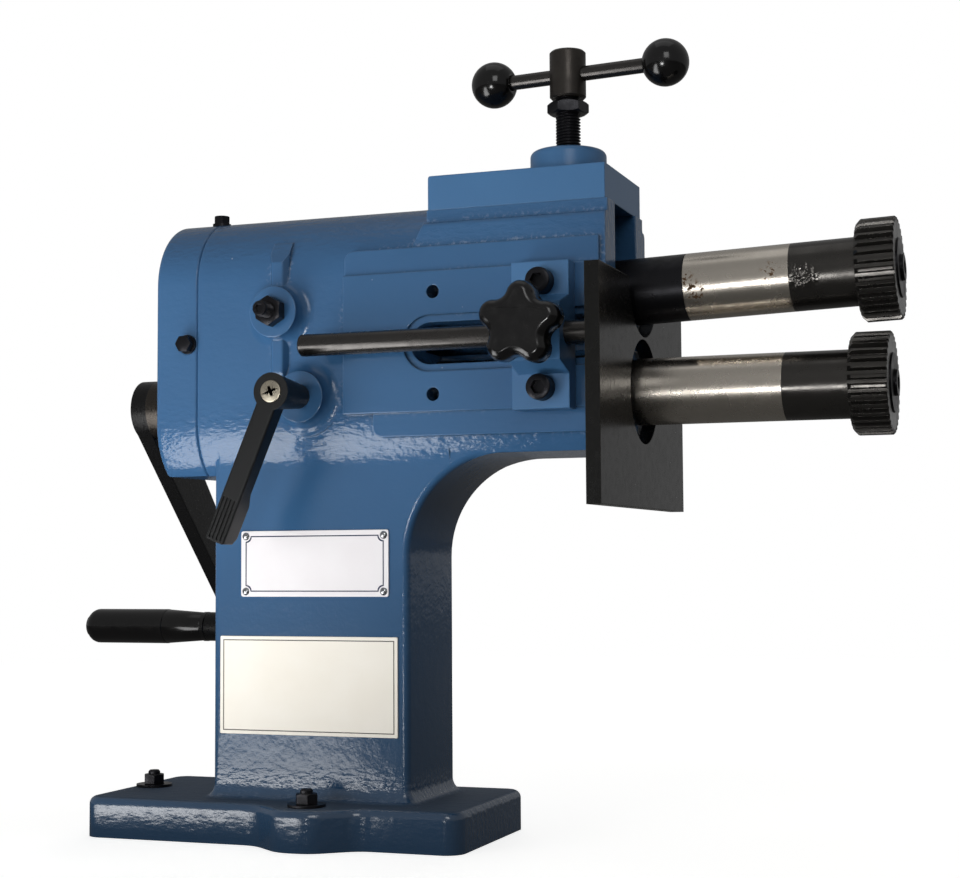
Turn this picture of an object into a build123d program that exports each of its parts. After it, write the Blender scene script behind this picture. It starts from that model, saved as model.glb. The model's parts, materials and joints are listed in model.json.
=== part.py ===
from build123d import *
from math import acos, asin, cos, degrees, pi, radians, sin, sqrt, tan
import os

os.makedirs("parts", exist_ok=True)

# Bench-top swage jenny (bead rolling machine), millimetres.
# X runs along the shafts with the rolls at +X, -Y is the front, +Z is up.
# The origin is the middle of the base underside.

# Fits and working gaps
running_gap = 0.05
sliding_gap = 0.08
screw_gap = 0.05
seat_gap = 0.3
cover_gap = 0.1
hole_end_gap = 1.0
cut_past = 1.0
near = 0.05

# Shaft lines
lower_axis_z = 283.5
pivot_rise = 55.5
pivot_x = 3.0
rest_tilt = 2.0
shaft_diameter = 25.0
collar_diameter = 42.0

# Base and its hold-down bolts
base_length = 263.0
base_width = 127.0
base_height = 26.0
base_corner = 12.0
base_edge = 5.0
lug_x = 30.0
lug_reach = 20.5
lug_root = 72.0
lug_tip = 22.0
lug_blend = 24.0
bolt_inset = 16.5
hold_bolt_diameter = 8.0
hold_bolt_flats = 13.0
hold_bolt_head = 6.5
hold_bolt_end = 2.8
hold_bolt_edge = 1.0
hold_bolt_lift = 2.0
hold_bolt_play = 0.5
hold_washer_diameter = 24.0
hold_washer_thickness = 1.8

# Column
column_left = -48.5
column_right = 89.5
column_width = 81.0
column_edge = 4.5
column_foot = 9.0
column_wall = 11.0
column_rib = 12.0
column_roof = 205.0
column_blend = 30.0
column_blend_end = 118.0

# Head and throat
head_left = -57.7
head_right = 222.5
head_width = 94.0
head_height = 173.0
head_drop = 48.0
head_sink = 12.0
throat_drop = 38.0
throat_radius = 64.0
channel_width = 50.0
channel_floor_rise = 28.5
channel_roof_wall = 16.5
bulkhead_x = -50.0

# Gear spigot and gear cover
spigot_length = 10.3
spigot_wall = 6.7
cover_depth = 31.3
cover_wall = 5.0
cover_edge = 4.0
cover_seam = 1.0
cover_hub_gap = 2.75
cover_screw_x = -64.5
cover_screw_diameter = 6.0
cover_screw_flats = 10.0
cover_screw_head = 5.4
cover_washer_diameter = 12.5
cover_washer_thickness = 2.2
cover_spot = 0.3

# Cap over the rocker channel
cap_left = 103.5
cap_right = 221.0
cap_inset = 5.6
cap_height = 22.0
cap_edge = 2.5
cap_seat_drop = 8.0
cap_boss_diameter = 49.0
cap_boss_height = 17.5
cap_boss_edge = 4.0
cap_boss_flare = 3.0
ledge_drop = 8.5
ledge_edge = 3.4
ledge_blend = 2.0
ledge_slope = 16.0
cap_screw_diameter = 8.0
cap_screw_head = 13.0
cap_screw_height = 8.0
cap_screw_reach = 18.0
cap_screw_inset_x = 10.0
cap_screw_inset_y = 8.0
cap_screw_sink = 0.6
cap_screw_socket = 6.0

# Front pad, slide band and slot
pad_left = 50.0
pad_foot_left = 70.0
pad_right = 219.0
pad_bottom = 256.5
pad_top_drop = 32.5
pad_proud = 3.0
pad_corner = 6.0
band_bottom = 271.5
band_top = 360.0
band_proud = 2.5
slot_left = 96.0
slot_height = 26.5
slot_rim = 4.6
slot_rim_depth = 2.0
spare_hole_x = 111.5
bracket_hole_spacing = 64.5
spare_hole_diameter = 8.5
spare_hole_depth = 18.0

# Bosses, ribs and pivots
boss_diameter = 33.0
boss_proud = 11.0
boss_flare = 8.5
clamp_x = 21.7
rib_width = 7.5
rib_proud = 4.5
rib_flare = 3.0
rib_edge = 1.8
rib_fade = 14.0
rib_top_drop = 22.5
pivot_screw_diameter = 10.0
pivot_point_diameter = 8.0
pivot_point_length = 5.5
pivot_screw_proud = 19.0
pivot_socket = 5.0
pivot_nut_flats = 17.0
pivot_nut_turn = 30.0
pivot_nut_height = 8.0

# Lower quill
quill_diameter = 50.0
quill_nose_diameter = 38.0
quill_left = -59.0
quill_right = 214.0
quill_nose_length = 14.0
quill_out = 3.0
quill_in = 5.0
bush_wall = 3.5
bush_length = 30.0
bore_relief = 1.5

# Rocker
rocker_width = 46.0
rocker_edge = 12.0
rocker_left = -45.0
rocker_shoulder = 205.0
rocker_nose_end = 263.5

# Gears
gear_teeth = 17
gear_module = 3.0
gear_pressure_angle = 20.0
gear_width = 14.0
gear_left = -76.0
gear_thinning = 0.2
gear_root_share = 1.25
gear_hub_diameter = 36.0

# Rolls, spacers and keys
lower_roll_start = 323.5
upper_roll_start = 329.0
roll_hub_length = 40.5
roll_face_length = 23.3
roll_diameter = 62.6
roll_teeth = 33
roll_tooth_depth = 3.0
roll_tip_share = 0.26
roll_root_share = 0.38
roll_chamfer = 2.5
roll_outer_chamfer = 0.8
roll_recess = 4.0
roll_washer_diameter = 36.0
roll_washer_thickness = 5.0
roll_screw_diameter = 10.0
roll_screw_head = 16.0
roll_screw_head_height = 4.0
roll_screw_sink = 2.0
roll_screw_socket = 8.0
roll_screw_length = 30.0
key_width = 6.0
key_height = 6.0
key_length = 20.0
crank_key_length = 24.0
key_top_gap = 0.3
key_inset = 2.0
circlip_width = 1.5
circlip_wall = 3.5
circlip_gap = 6.0
circlip_land = 1.5

# Crank
crank_hub_diameter = 40.5
crank_hub_left = -123.5
crank_radius = 211.0
crank_angle = 43.0
crank_arm_thickness = 11.0
crank_arm_start = 39.5
crank_arm_end = 25.0
crank_boss_diameter = 22.0
crank_boss_length = 38.0
crank_set_screw = 8.0
crank_set_socket = 4.0
spindle_diameter = 10.0
spindle_head_diameter = 16.0
spindle_head = 3.0
grip_length = 104.7
grip_diameter = 26.4
grip_neck_diameter = 21.6
grip_taper_start = 69.5
grip_end_chamfer = 4.5
grip_collar_diameter = 22.4
grip_collar_length = 4.0

# Pressure screw, shoe and tommy bar
screw_x = 185.2
screw_diameter = 16.0
screw_point_diameter = 8.0
screw_point_length = 5.0
shoe_diameter = 22.0
shoe_height = 9.0
shoe_dome_radius = 60.0
screw_nut_flats = 23.2
screw_nut_height = 7.5
screw_nut_gap = 2.6
screw_nut_turn = 17.0
tee_diameter = 23.4
tee_height = 31.0
tee_rise = 34.6
tee_edge = 1.2
tee_socket = 9.0
tommy_diameter = 9.5
tommy_span = 119.5
tommy_offset = 7.2
tommy_yaw = 6.5
ball_diameter = 30.0
ball_flat_diameter = 14.0
ball_socket = 10.0

# Lift spring under the rocker
spring_x = 150.0
spring_diameter = 12.0
spring_wire = 2.0
spring_turns = 4.5
spring_pocket = 5.0

# Fence, its rod, bracket and knob
fence_stand = 2.1
fence_thickness = 9.0
fence_width = 200.0
fence_bottom = 210.5
fence_top = 352.0
fence_hole = 66.0
fence_notch_rise = 67.5
rod_diameter = 14.0
rod_y = -70.0
rod_rise = 31.0
rod_left = 29.0
rod_edge = 1.0
rod_spigot_diameter = 9.0
rod_spigot_length = 6.5
bracket_left = 168.0
bracket_width = 36.5
bracket_height = 90.0
bracket_flange = 12.5
bracket_flange_height = 21.2
bracket_front = -84.0
bracket_slope = 6.5
bracket_core_inset = 4.0
bracket_screw_x = 187.5
bracket_screw_diameter = 10.0
bracket_screw_head = 16.0
bracket_screw_head_height = 10.0
bracket_screw_reach = 14.0
bracket_screw_socket = 8.0
bracket_screw_socket_depth = 5.0
knob_diameter = 51.0
knob_lobes = 5
knob_lobe_radius = 8.5
knob_core_radius = 18.7
knob_thickness = 17.0
knob_edge = 3.0
knob_neck_diameter = 20.0
knob_neck_length = 14.0
knob_gap = 2.0
knob_turn = -4.0
knob_stud_diameter = 8.0
knob_stud_sink = 10.0
knob_pad_diameter = 7.0
knob_pad_length = 3.0

# Clamp lever and its plug
lever_hub_diameter = 23.5
lever_foot_diameter = 15.5
lever_hub_length = 39.5
lever_angle = 23.0
lever_length = 100.0
lever_width = 13.5
lever_thickness = 13.0
lever_tip_bulge = 4.0
lever_tip_length = 34.0
lever_edge = 1.5
lever_groove_count = 4
lever_groove_length = 27.0
lever_groove_width = 1.2
lever_groove_depth = 0.8
lever_stud_diameter = 10.0
lever_stud_sink = 22.0
lever_screw_diameter = 14.0
lever_screw_recess = 1.5
lever_screw_proud = 0.8
lever_screw_shank = 5.0
lever_screw_length = 10.0
plug_diameter = 9.0
plug_length = 12.0
quill_slot_depth = 1.0
quill_slot_gap = 0.5

# Plates on the column
name_plate_length = 104.0
name_plate_height = 42.5
name_plate_x = 24.5
name_plate_z = 177.2
plate_thickness = 1.0
rivet_diameter = 5.0
rivet_proud = 1.4
rivet_inset = 4.5
data_plate_length = 125.0
data_plate_height = 63.0
data_plate_x = 20.0
data_plate_z = 99.0

# Places worked out from the sizes above
pivot_z = lower_axis_z + pivot_rise
head_bottom = lower_axis_z - head_drop
head_top = head_bottom + head_height
throat_z = lower_axis_z - throat_drop
cap_seat_z = head_top - cap_seat_drop
cap_width = head_width - 2 * cap_inset
wall_front = -head_width / 2
pad_front = wall_front - pad_proud
pad_top = head_top - pad_top_drop
band_front = pad_front - band_proud
boss_front = wall_front - boss_proud
column_front = -column_width / 2
channel_floor = lower_axis_z + channel_floor_rise
channel_roof = head_top - channel_roof_wall
rod_z = lower_axis_z + rod_rise
fence_left = head_right + fence_stand
gear_right = gear_left + gear_width
cover_left = head_left - cover_depth
lower_roll_end = lower_roll_start + roll_hub_length + roll_face_length
upper_roll_end = upper_roll_start + roll_hub_length + roll_face_length
hold_bolts = [(lug_x, base_width / 2), (lug_x, -base_width / 2), (bolt_inset - base_length / 2, 0)]
bracket_screw_rises = (rod_z - bracket_hole_spacing / 2, rod_z + bracket_hole_spacing / 2)
lower_bore = shaft_diameter + 2 * running_gap
bush_diameter = shaft_diameter + 2 * bush_wall
relief_bore = shaft_diameter + 2 * bore_relief
shoe_bottom = (
    pivot_z
    + (screw_x - pivot_x) * tan(radians(rest_tilt))
    + rocker_width / 2 / cos(radians(rest_tilt))
    + seat_gap
)
tee_bottom = cap_seat_z + cap_height + cap_boss_height + tee_rise
tommy_z = tee_bottom + tee_height / 2
spin_up = Pos(pivot_x, 0, pivot_z) * Rot(0, -rest_tilt, 0) * Pos(-pivot_x, 0, -pivot_z)
low_end = (Align.CENTER, Align.CENTER, Align.MIN)


def bar_x(diameter, start, end, y=0.0, z=0.0):
    return Pos(start, y, z) * Rot(0, 90, 0) * Cylinder(diameter / 2, end - start, align=low_end)


def bar_y(diameter, start, end, x=0.0, z=0.0):
    return Pos(x, start, z) * Rot(-90, 0, 0) * Cylinder(diameter / 2, end - start, align=low_end)


def bar_z(diameter, start, end, x=0.0, y=0.0):
    return Pos(x, y, start) * Cylinder(diameter / 2, end - start, align=low_end)


def block(x_span, y_span, z_span):
    spans = (x_span, y_span, z_span)
    middle = [(low + high) / 2 for low, high in spans]
    size = [high - low for low, high in spans]
    return Pos(*middle) * Box(*size)


def hexagon(flats, height):
    return extrude(RegularPolygon(flats / 2, 6, major_radius=False), height)


def obround_x(width, bottom, top, start, end):
    face = Plane.YZ.offset(start) * Pos(0, (bottom + top) / 2) * SlotOverall(top - bottom, width, rotation=90)
    return extrude(face, end - start)


def edges_where(shape, test):
    return [edge for edge in shape.edges() if test(edge.center())]


# The head and its cover share one section: round above, and round but cut off flat below.
def head_section(inset, start, end):
    bottom = head_bottom + inset
    shape = obround_x(head_width - 2 * inset, bottom - head_sink, head_top - inset, start, end)
    return shape - block((start, end), (-head_width, head_width), (bottom - 2 * head_sink, bottom))


# Hex and socket fasteners stand on the plane z = 0 with their shanks below it.
def hex_bolt(diameter, reach, flats, head):
    return hexagon(flats, head) + bar_z(diameter, -reach, 0)


def socket_screw(diameter, reach, head_diameter, head_height, socket, socket_depth):
    screw = bar_z(head_diameter, 0, head_height) + bar_z(diameter, -reach, 0)
    return screw - Pos(0, 0, head_height - socket_depth) * hexagon(socket, socket_depth)


def washer(outer, inner, thickness):
    return bar_z(outer, 0, thickness) - bar_z(inner, 0, thickness)


# Main casting
def throat_lines():
    arch_x = column_right + throat_radius
    arch_z = throat_z - throat_radius
    bend = throat_radius * sqrt(0.5)
    wall = Line((column_right, base_height / 2), (column_right, arch_z))
    arch = ThreePointArc((column_right, arch_z), (arch_x - bend, arch_z + bend), (arch_x, throat_z))
    under = Line((arch_x, throat_z), (head_right, throat_z))
    return wall + arch + under


def column_body():
    ends = Polyline(
        (head_right, throat_z),
        (head_right, lower_axis_z),
        (column_left, lower_axis_z),
        (column_left, base_height / 2),
        (column_right, base_height / 2),
    )
    body = extrude(make_face(Plane.XZ * (throat_lines() + ends)), column_width / 2, both=True)

    def outline(point):
        on_side = abs(abs(point.Y) - column_width / 2) < near
        inside = base_height / 2 + near < point.Z < lower_axis_z - near
        return on_side and inside and point.X < head_right - near

    return fillet(edges_where(body, outline), column_edge)


# Where the column runs up into the head's round underside, a hollow curve leads one into the other.
def column_blends():
    radius = head_width / 2
    half = column_width / 2
    round_z = head_bottom - head_sink + radius
    drop = sqrt((radius + column_blend) ** 2 - (half + column_blend) ** 2)
    share = radius / (radius + column_blend)
    swing = asin(drop / (radius + column_blend)) / 2
    low = round_z - drop
    touch = (-(half + column_blend) * share, round_z - drop * share)
    middle = (column_blend * (cos(swing) - 1) - half, low + column_blend * sin(swing))
    lines = Polyline(touch, (0, touch[1]), (0, low), (-half, low)) + ThreePointArc((-half, low), middle, touch)
    span = column_blend_end - column_left - column_edge
    front = extrude(make_face(Plane.YZ * lines), span, dir=(1, 0, 0))
    front = Pos(column_left + column_edge, 0, 0) * front
    return front + mirror(front, Plane.XZ)


def throat_space():
    far = head_right + head_width
    ends = Polyline(
        (head_right, throat_z), (far, throat_z), (far, base_height / 2), (column_right, base_height / 2)
    )
    return extrude(make_face(Plane.XZ * (throat_lines() + ends)), head_width, both=True)


def base_body():
    half = base_width / 2
    end = base_length / 2
    front = [
        (-end, -half),
        (lug_x - lug_root / 2, -half),
        (lug_x - lug_tip / 2, -half - lug_reach),
        (lug_x + lug_tip / 2, -half - lug_reach),
        (lug_x + lug_root / 2, -half),
        (end, -half),
    ]
    rear = [(x, -y) for x, y in reversed(front)]
    bends = [base_corner] + [lug_blend] * 4 + [base_corner]
    outline = make_face(FilletPolyline(*front, *rear, radius=bends + bends, close=True))
    body = extrude(outline, base_height)
    return fillet(edges_where(body, lambda point: abs(point.Z - base_height) < near), base_edge)


def boss_y(x, z, face):
    radius = boss_diameter / 2
    wall = abs(wall_front)
    root = wall - boss_flare
    bend = boss_flare * (1 - sqrt(0.5))
    skirt = radius + boss_flare
    profile = make_face(
        Polyline((0, root), (skirt, root), (skirt, wall))
        + ThreePointArc((skirt, wall), (radius + bend, wall + bend), (radius, wall + boss_flare))
        + Polyline((radius, wall + boss_flare), (radius, abs(face)), (0, abs(face)), (0, root))
    )
    return Pos(x, 0, z) * Rot(0, 0, 0 if face > 0 else 180) * revolve(profile, Axis.Y)


def rib_y(x, low, high):
    root = wall_front + boss_flare
    crest = wall_front - rib_proud
    half = rib_width / 2
    foot = half + rib_flare
    section = Polyline(
        (-foot, root),
        (-foot, wall_front),
        (-half, crest),
        (half, crest),
        (foot, wall_front),
        (foot, root),
        (-foot, root),
    )
    bar = Pos(0, 0, low) * extrude(make_face(section), high - low)
    bar = fillet(edges_where(bar, lambda p: p.Y < crest + near and abs(p.X) > near), rib_edge)
    side = Polyline(
        (root, low),
        (wall_front, low),
        (crest, low + rib_fade),
        (crest, high - rib_fade),
        (root - rib_flare, high),
        (root, high),
        (root, low),
    )
    outline = make_face(Plane.YZ * side)
    return Pos(x, 0, 0) * (bar & extrude(outline, foot, both=True))


def cap_seat():
    half = head_width / 2
    ledge_z = cap_seat_z - ledge_drop
    middle_z = head_top - half
    side = make_face(
        Plane.XZ
        * Polyline(
            (cap_left - ledge_slope, middle_z),
            (head_right, middle_z),
            (head_right, ledge_z),
            (cap_left, ledge_z),
            (cap_left - ledge_slope, middle_z),
        )
    )
    ledge = extrude(side, half, both=True)
    ledge = fillet(
        edges_where(ledge, lambda p: abs(p.Z - ledge_z) < near and abs(abs(p.Y) - half) < near), ledge_edge
    )
    seat = block((cap_left, head_right), (-cap_width / 2, cap_width / 2), (middle_z, cap_seat_z))
    shape = ledge + seat
    corner = edges_where(
        shape, lambda p: abs(p.Z - ledge_z) < near and abs(abs(p.Y) - cap_width / 2) < near
    )
    return fillet(corner, ledge_blend)


def front_pad():
    pad = Polyline(
        (pad_left, pad_top),
        (pad_left, band_bottom),
        (pad_foot_left, band_bottom),
        (pad_foot_left, pad_bottom),
        (pad_right, pad_bottom),
        (pad_right, pad_top),
        (pad_left, pad_top),
    )
    inner = wall_front + boss_flare
    face = make_face(Plane.XZ.offset(-inner) * pad)
    plate = extrude(face, inner - pad_front)
    corners = edges_where(
        plate, lambda p: abs(p.X - pad_left) + abs(p.Z - pad_top) < near
        or abs(p.X - pad_foot_left) + abs(p.Z - pad_bottom) < near
    )
    plate = fillet(corners, pad_corner)
    band = block((pad_left, pad_right), (band_front, inner), (band_bottom, band_top))
    return plate + band


def slot_cut():
    x_span = (slot_left + slot_height / 2, head_right + cut_past)

    def open_slot(height, depth_span):
        straight = block(x_span, depth_span, (rod_z - height / 2, rod_z + height / 2))
        return straight + bar_y(height, *depth_span, x_span[0], rod_z)

    through = open_slot(slot_height, (band_front - cut_past, 0))
    rim_span = (band_front - cut_past, band_front + slot_rim_depth)
    return through + open_slot(slot_height + 2 * slot_rim, rim_span)


def column_hollows():
    half = column_width / 2 - column_wall
    left = (column_left + column_wall, -column_rib / 2)
    right = (column_rib / 2, column_right - column_wall)
    hollows = []
    for x_span in (left, right):
        room = block(x_span, (-half, half), (-cut_past, column_roof))
        upright = edges_where(room, lambda p: 0 < p.Z < column_roof)
        hollows.append(fillet(upright, column_edge))
    return hollows


def frame_casting():
    column = column_body() + base_body()
    reach = column_width / 2 + near
    foot = edges_where(
        column,
        lambda p: abs(p.Z - base_height) < near
        and column_left - near < p.X < column_right + near
        and abs(p.Y) < reach,
    )
    column = fillet(foot, column_foot)
    head = head_section(0, head_left, head_right) - throat_space()
    head = chamfer(edges_where(head, lambda p: p.X < head_left + near), cover_seam)
    out_right = head_right + cut_past
    above = (cap_seat_z, head_top + cut_past)
    head -= block((cap_left, out_right), (-head_width, head_width), above)
    spigot_left = head_left - spigot_length
    spigot_inset = cover_wall + cover_gap
    spigot = head_section(spigot_inset, spigot_left, head_left)
    casting = column + head + spigot + cap_seat() + front_pad() + column_blends()
    casting += boss_y(pivot_x, pivot_z, boss_front)
    casting += boss_y(pivot_x, pivot_z, -boss_front)
    casting += boss_y(clamp_x, lower_axis_z, boss_front)
    casting += rib_y(pivot_x, lower_axis_z + rib_flare, head_top - rib_top_drop)

    casting -= head_section(spigot_inset + spigot_wall, spigot_left, bulkhead_x)
    half = channel_width / 2
    channel = (-half, half)
    out_left = bulkhead_x - cut_past
    casting -= block((out_left, out_right), channel, (channel_floor, channel_roof))
    casting -= block((cap_left + column_wall, out_right), channel, (channel_floor, cap_seat_z + cut_past))
    casting -= bar_x(quill_diameter + 2 * sliding_gap, out_left, out_right, z=lower_axis_z)
    casting -= slot_cut()
    for hollow in column_hollows():
        casting -= hollow
    for x, y in hold_bolts:
        casting -= bar_z(hold_bolt_diameter + 2 * hold_bolt_play, -cut_past, base_height + cut_past, x, y)
    for side in (-1, 1):
        start, end = sorted((side * (abs(boss_front) + cut_past), side * half))
        casting -= bar_y(pivot_screw_diameter + 2 * screw_gap, start, end, pivot_x, pivot_z)
    casting -= bar_y(lever_stud_diameter + 2 * screw_gap, boss_front - cut_past, 0, clamp_x, lower_axis_z)
    tapped = bracket_screw_diameter + 2 * screw_gap
    tapped_end = band_front + bracket_screw_reach + hole_end_gap
    mouth = band_front - cut_past
    for z in bracket_screw_rises:
        casting -= bar_y(spare_hole_diameter, mouth, band_front + spare_hole_depth, spare_hole_x, z)
        casting -= bar_y(tapped, mouth, tapped_end, bracket_screw_x, z)
    for place in cap_screw_places():
        hole = bar_z(cap_screw_diameter + 2 * screw_gap, -cap_screw_reach, cut_past)
        casting -= Pos(place.X, place.Y, cap_seat_z) * hole
    for turn in cover_screw_turns():
        hole = bar_z(cover_screw_diameter + 2 * screw_gap, -2 * spigot_wall, cut_past)
        casting -= turn * hole
    return casting


# Cap, cover and their screws
def cap_screw_places():
    y = cap_width / 2 - cap_screw_inset_y
    ends = (cap_left + cap_screw_inset_x, cap_right - cap_screw_inset_x)
    return [Vector(x, side * y, 0) for x in ends for side in (-1, 1)]


def pressure_cap():
    top = cap_seat_z + cap_height
    half = cap_width / 2
    cap = block((cap_left, cap_right), (-half, half), (cap_seat_z, top))
    left_end = edges_where(cap, lambda p: p.X < cap_left + near and p.Z > cap_seat_z + near)
    cap = fillet(left_end, cap_edge)
    boss = bar_z(cap_boss_diameter, top, top + cap_boss_height, screw_x)
    boss = fillet(edges_where(boss, lambda p: p.Z > top + cap_boss_height - near), cap_boss_edge)
    flare = Pos(screw_x, 0, top) * Cone(
        cap_boss_diameter / 2 + cap_boss_flare, cap_boss_diameter / 2, cap_boss_flare, align=low_end
    )
    cap += boss + (flare & block((cap_left, cap_right), (-half, half), (top, top + cap_boss_flare)))
    bore_end = top + cap_boss_height + cut_past
    cap -= bar_z(screw_diameter + 2 * running_gap, cap_seat_z - cut_past, bore_end, screw_x)
    hole = bar_z(cap_screw_diameter + 2 * screw_gap, -cap_height - cut_past, 0)
    hole += bar_z(cap_screw_head + 2 * seat_gap, -cap_screw_height - cap_screw_sink, cut_past)
    for place in cap_screw_places():
        cap -= Pos(place.X, place.Y, top) * hole
    return cap


def cap_screws():
    reach = cap_height - cap_screw_height - cap_screw_sink + cap_screw_reach - hole_end_gap
    seat = cap_seat_z + cap_height - cap_screw_height - cap_screw_sink
    screw = socket_screw(
        cap_screw_diameter, reach, cap_screw_head, cap_screw_height, cap_screw_socket, cap_screw_height / 2
    )
    return [Pos(place.X, place.Y, seat) * screw for place in cap_screw_places()]


# Each place turns +Z outwards, with z = 0 on the outer wall of the cover.
def cover_screw_turns():
    middle = (head_bottom + head_top) / 2
    half = head_width / 2
    return [
        Pos(cover_screw_x, 0, head_top),
        Pos(cover_screw_x, -half, middle) * Rot(90, 0, 0),
        Pos(cover_screw_x, half, middle) * Rot(-90, 0, 0),
    ]


def gear_cover():
    cover = head_section(0, cover_left, head_left)
    cover = fillet(edges_where(cover, lambda p: abs(p.X - cover_left) < near), cover_edge)
    cover = chamfer(edges_where(cover, lambda p: abs(p.X - head_left) < near), cover_seam)
    cover -= head_section(cover_wall, cover_left + cover_wall, head_left)
    hub_hole = crank_hub_diameter + 2 * cover_hub_gap
    cover -= bar_x(hub_hole, cover_left - cut_past, cover_left + cover_wall + cut_past, z=lower_axis_z)
    for turn in cover_screw_turns():
        cover -= turn * bar_z(cover_screw_diameter + 2 * screw_gap, -2 * cover_wall, cut_past)
        cover -= turn * bar_z(cover_washer_diameter + 2 * seat_gap, -cover_spot, cut_past)
    return cover


def cover_washers():
    ring = washer(cover_washer_diameter, cover_screw_diameter + 2 * screw_gap, cover_washer_thickness)
    return [turn * Pos(0, 0, -cover_spot) * ring for turn in cover_screw_turns()]


def cover_screws():
    bolt = hex_bolt(cover_screw_diameter, cover_wall + spigot_wall, cover_screw_flats, cover_screw_head)
    lift = cover_washer_thickness - cover_spot
    return [turn * Pos(0, 0, lift) * bolt for turn in cover_screw_turns()]


# Hold-down bolts, pivots and plates
def hold_down_washers():
    ring = washer(hold_washer_diameter, hold_bolt_diameter + 2 * screw_gap, hold_washer_thickness)
    return [Pos(x, y, base_height) * ring for x, y in hold_bolts]


def hold_down_bolts():
    reach = base_height + hold_washer_thickness - hold_bolt_lift
    bolt = hex_bolt(hold_bolt_diameter, reach, hold_bolt_flats, hold_bolt_head)
    top = hold_bolt_head + hold_bolt_end
    end = bar_z(hold_bolt_diameter, hold_bolt_head, top)
    bolt += chamfer(edges_where(end, lambda p: p.Z > top - near), hold_bolt_edge)
    return [Pos(x, y, base_height + hold_washer_thickness) * bolt for x, y in hold_bolts]


# Front and rear copies differ by a half turn about the vertical through the pivot.
def both_sides(front):
    middle = Pos(pivot_x, 0, pivot_z)
    return [middle * front, middle * Rot(0, 0, 180) * front]


def pivot_screws():
    shoulder = -rocker_width / 2 - seat_gap
    tip = -rocker_width / 2 + pivot_point_length
    tail = boss_front - pivot_screw_proud
    screw = bar_y(pivot_screw_diameter, tail, shoulder)
    screw += bar_y(pivot_point_diameter, shoulder, tip)
    screw -= Pos(0, tail, 0) * Rot(-90, 0, 0) * hexagon(pivot_socket, pivot_socket)
    return both_sides(screw)


def pivot_lock_nuts():
    nut = hexagon(pivot_nut_flats, pivot_nut_height)
    nut -= bar_z(pivot_screw_diameter + 2 * screw_gap, 0, pivot_nut_height)
    return both_sides(Pos(0, boss_front, 0) * Rot(90, 0, 0) * Rot(0, 0, pivot_nut_turn) * nut)


def plate(length, height, x, z):
    outline = Plane.XZ.offset(-column_front) * Rectangle(length, height)
    return Pos(x, 0, z) * extrude(outline, plate_thickness)


def name_plate_rivets():
    x = name_plate_length / 2 - rivet_inset
    z = name_plate_height / 2 - rivet_inset
    ball = (rivet_diameter ** 2 / 4 + rivet_proud ** 2) / (2 * rivet_proud)
    face = column_front - plate_thickness
    head = Pos(0, face - rivet_proud + ball, 0) * Sphere(ball)
    wide = (-rivet_diameter, rivet_diameter)
    head &= block(wide, (face - rivet_proud, face), wide)
    corners = [(x * across, z * up) for across in (-1, 1) for up in (-1, 1)]
    return [Pos(name_plate_x + x, 0, name_plate_z + z) * head for x, z in corners]


# Shafts, gears, rolls and keys, each built with its axis along X at y = z = 0
def ring_of_teeth(tooth, count):
    edges = []
    for index in range(count):
        edges += (Rot(0, 0, -360 * index / count) * tooth).edges()
    return make_face(edges)


def gear_outline():
    pitch_radius = gear_module * gear_teeth / 2
    base_radius = pitch_radius * cos(radians(gear_pressure_angle))
    tip_radius = pitch_radius + gear_module
    root_radius = pitch_radius - gear_root_share * gear_module
    half_tooth = (pi * gear_module / 2 - gear_thinning) / 2 / pitch_radius

    def opening(radius):
        angle = acos(base_radius / radius)
        return tan(angle) - angle

    def flank(radius, side):
        turn = half_tooth + opening(pitch_radius) - opening(radius)
        return radius * sin(side * turn), radius * cos(side * turn)

    middle_radius = (base_radius + tip_radius) / 2
    root_turn = half_tooth + opening(pitch_radius)
    left_root = (-root_radius * sin(root_turn), root_radius * cos(root_turn))
    right_root = (root_radius * sin(root_turn), root_radius * cos(root_turn))
    step = 2 * pi / gear_teeth
    next_root = (root_radius * sin(step - root_turn), root_radius * cos(step - root_turn))
    valley = (root_radius * sin(step / 2), root_radius * cos(step / 2))
    tooth = (
        Line(left_root, flank(base_radius, -1))
        + ThreePointArc(flank(base_radius, -1), flank(middle_radius, -1), flank(tip_radius, -1))
        + ThreePointArc(flank(tip_radius, -1), (0, tip_radius), flank(tip_radius, 1))
        + ThreePointArc(flank(tip_radius, 1), flank(middle_radius, 1), flank(base_radius, 1))
        + Line(flank(base_radius, 1), right_root)
        + ThreePointArc(right_root, valley, next_root)
    )
    return ring_of_teeth(tooth, gear_teeth)


def gear():
    wheel = extrude(Plane.YZ.offset(gear_left) * gear_outline(), gear_width)
    wheel -= bar_x(shaft_diameter, gear_left - cut_past, gear_right + cut_past)
    return wheel - key_room(gear_left - cut_past, gear_right + cut_past)


def roll_outline():
    tip = roll_diameter / 2
    root = tip - roll_tooth_depth
    step = 2 * pi / roll_teeth
    tip_turn = step * roll_tip_share / 2
    root_turn = step * (1 - roll_root_share) / 2

    def at(radius, turn):
        return radius * sin(turn), radius * cos(turn)

    tooth = (
        Line(at(root, -root_turn), at(tip, -tip_turn))
        + ThreePointArc(at(tip, -tip_turn), at(tip, 0), at(tip, tip_turn))
        + Line(at(tip, tip_turn), at(root, root_turn))
        + ThreePointArc(at(root, root_turn), at(root, step / 2), at(root, step - root_turn))
    )
    return ring_of_teeth(tooth, roll_teeth)


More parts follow.
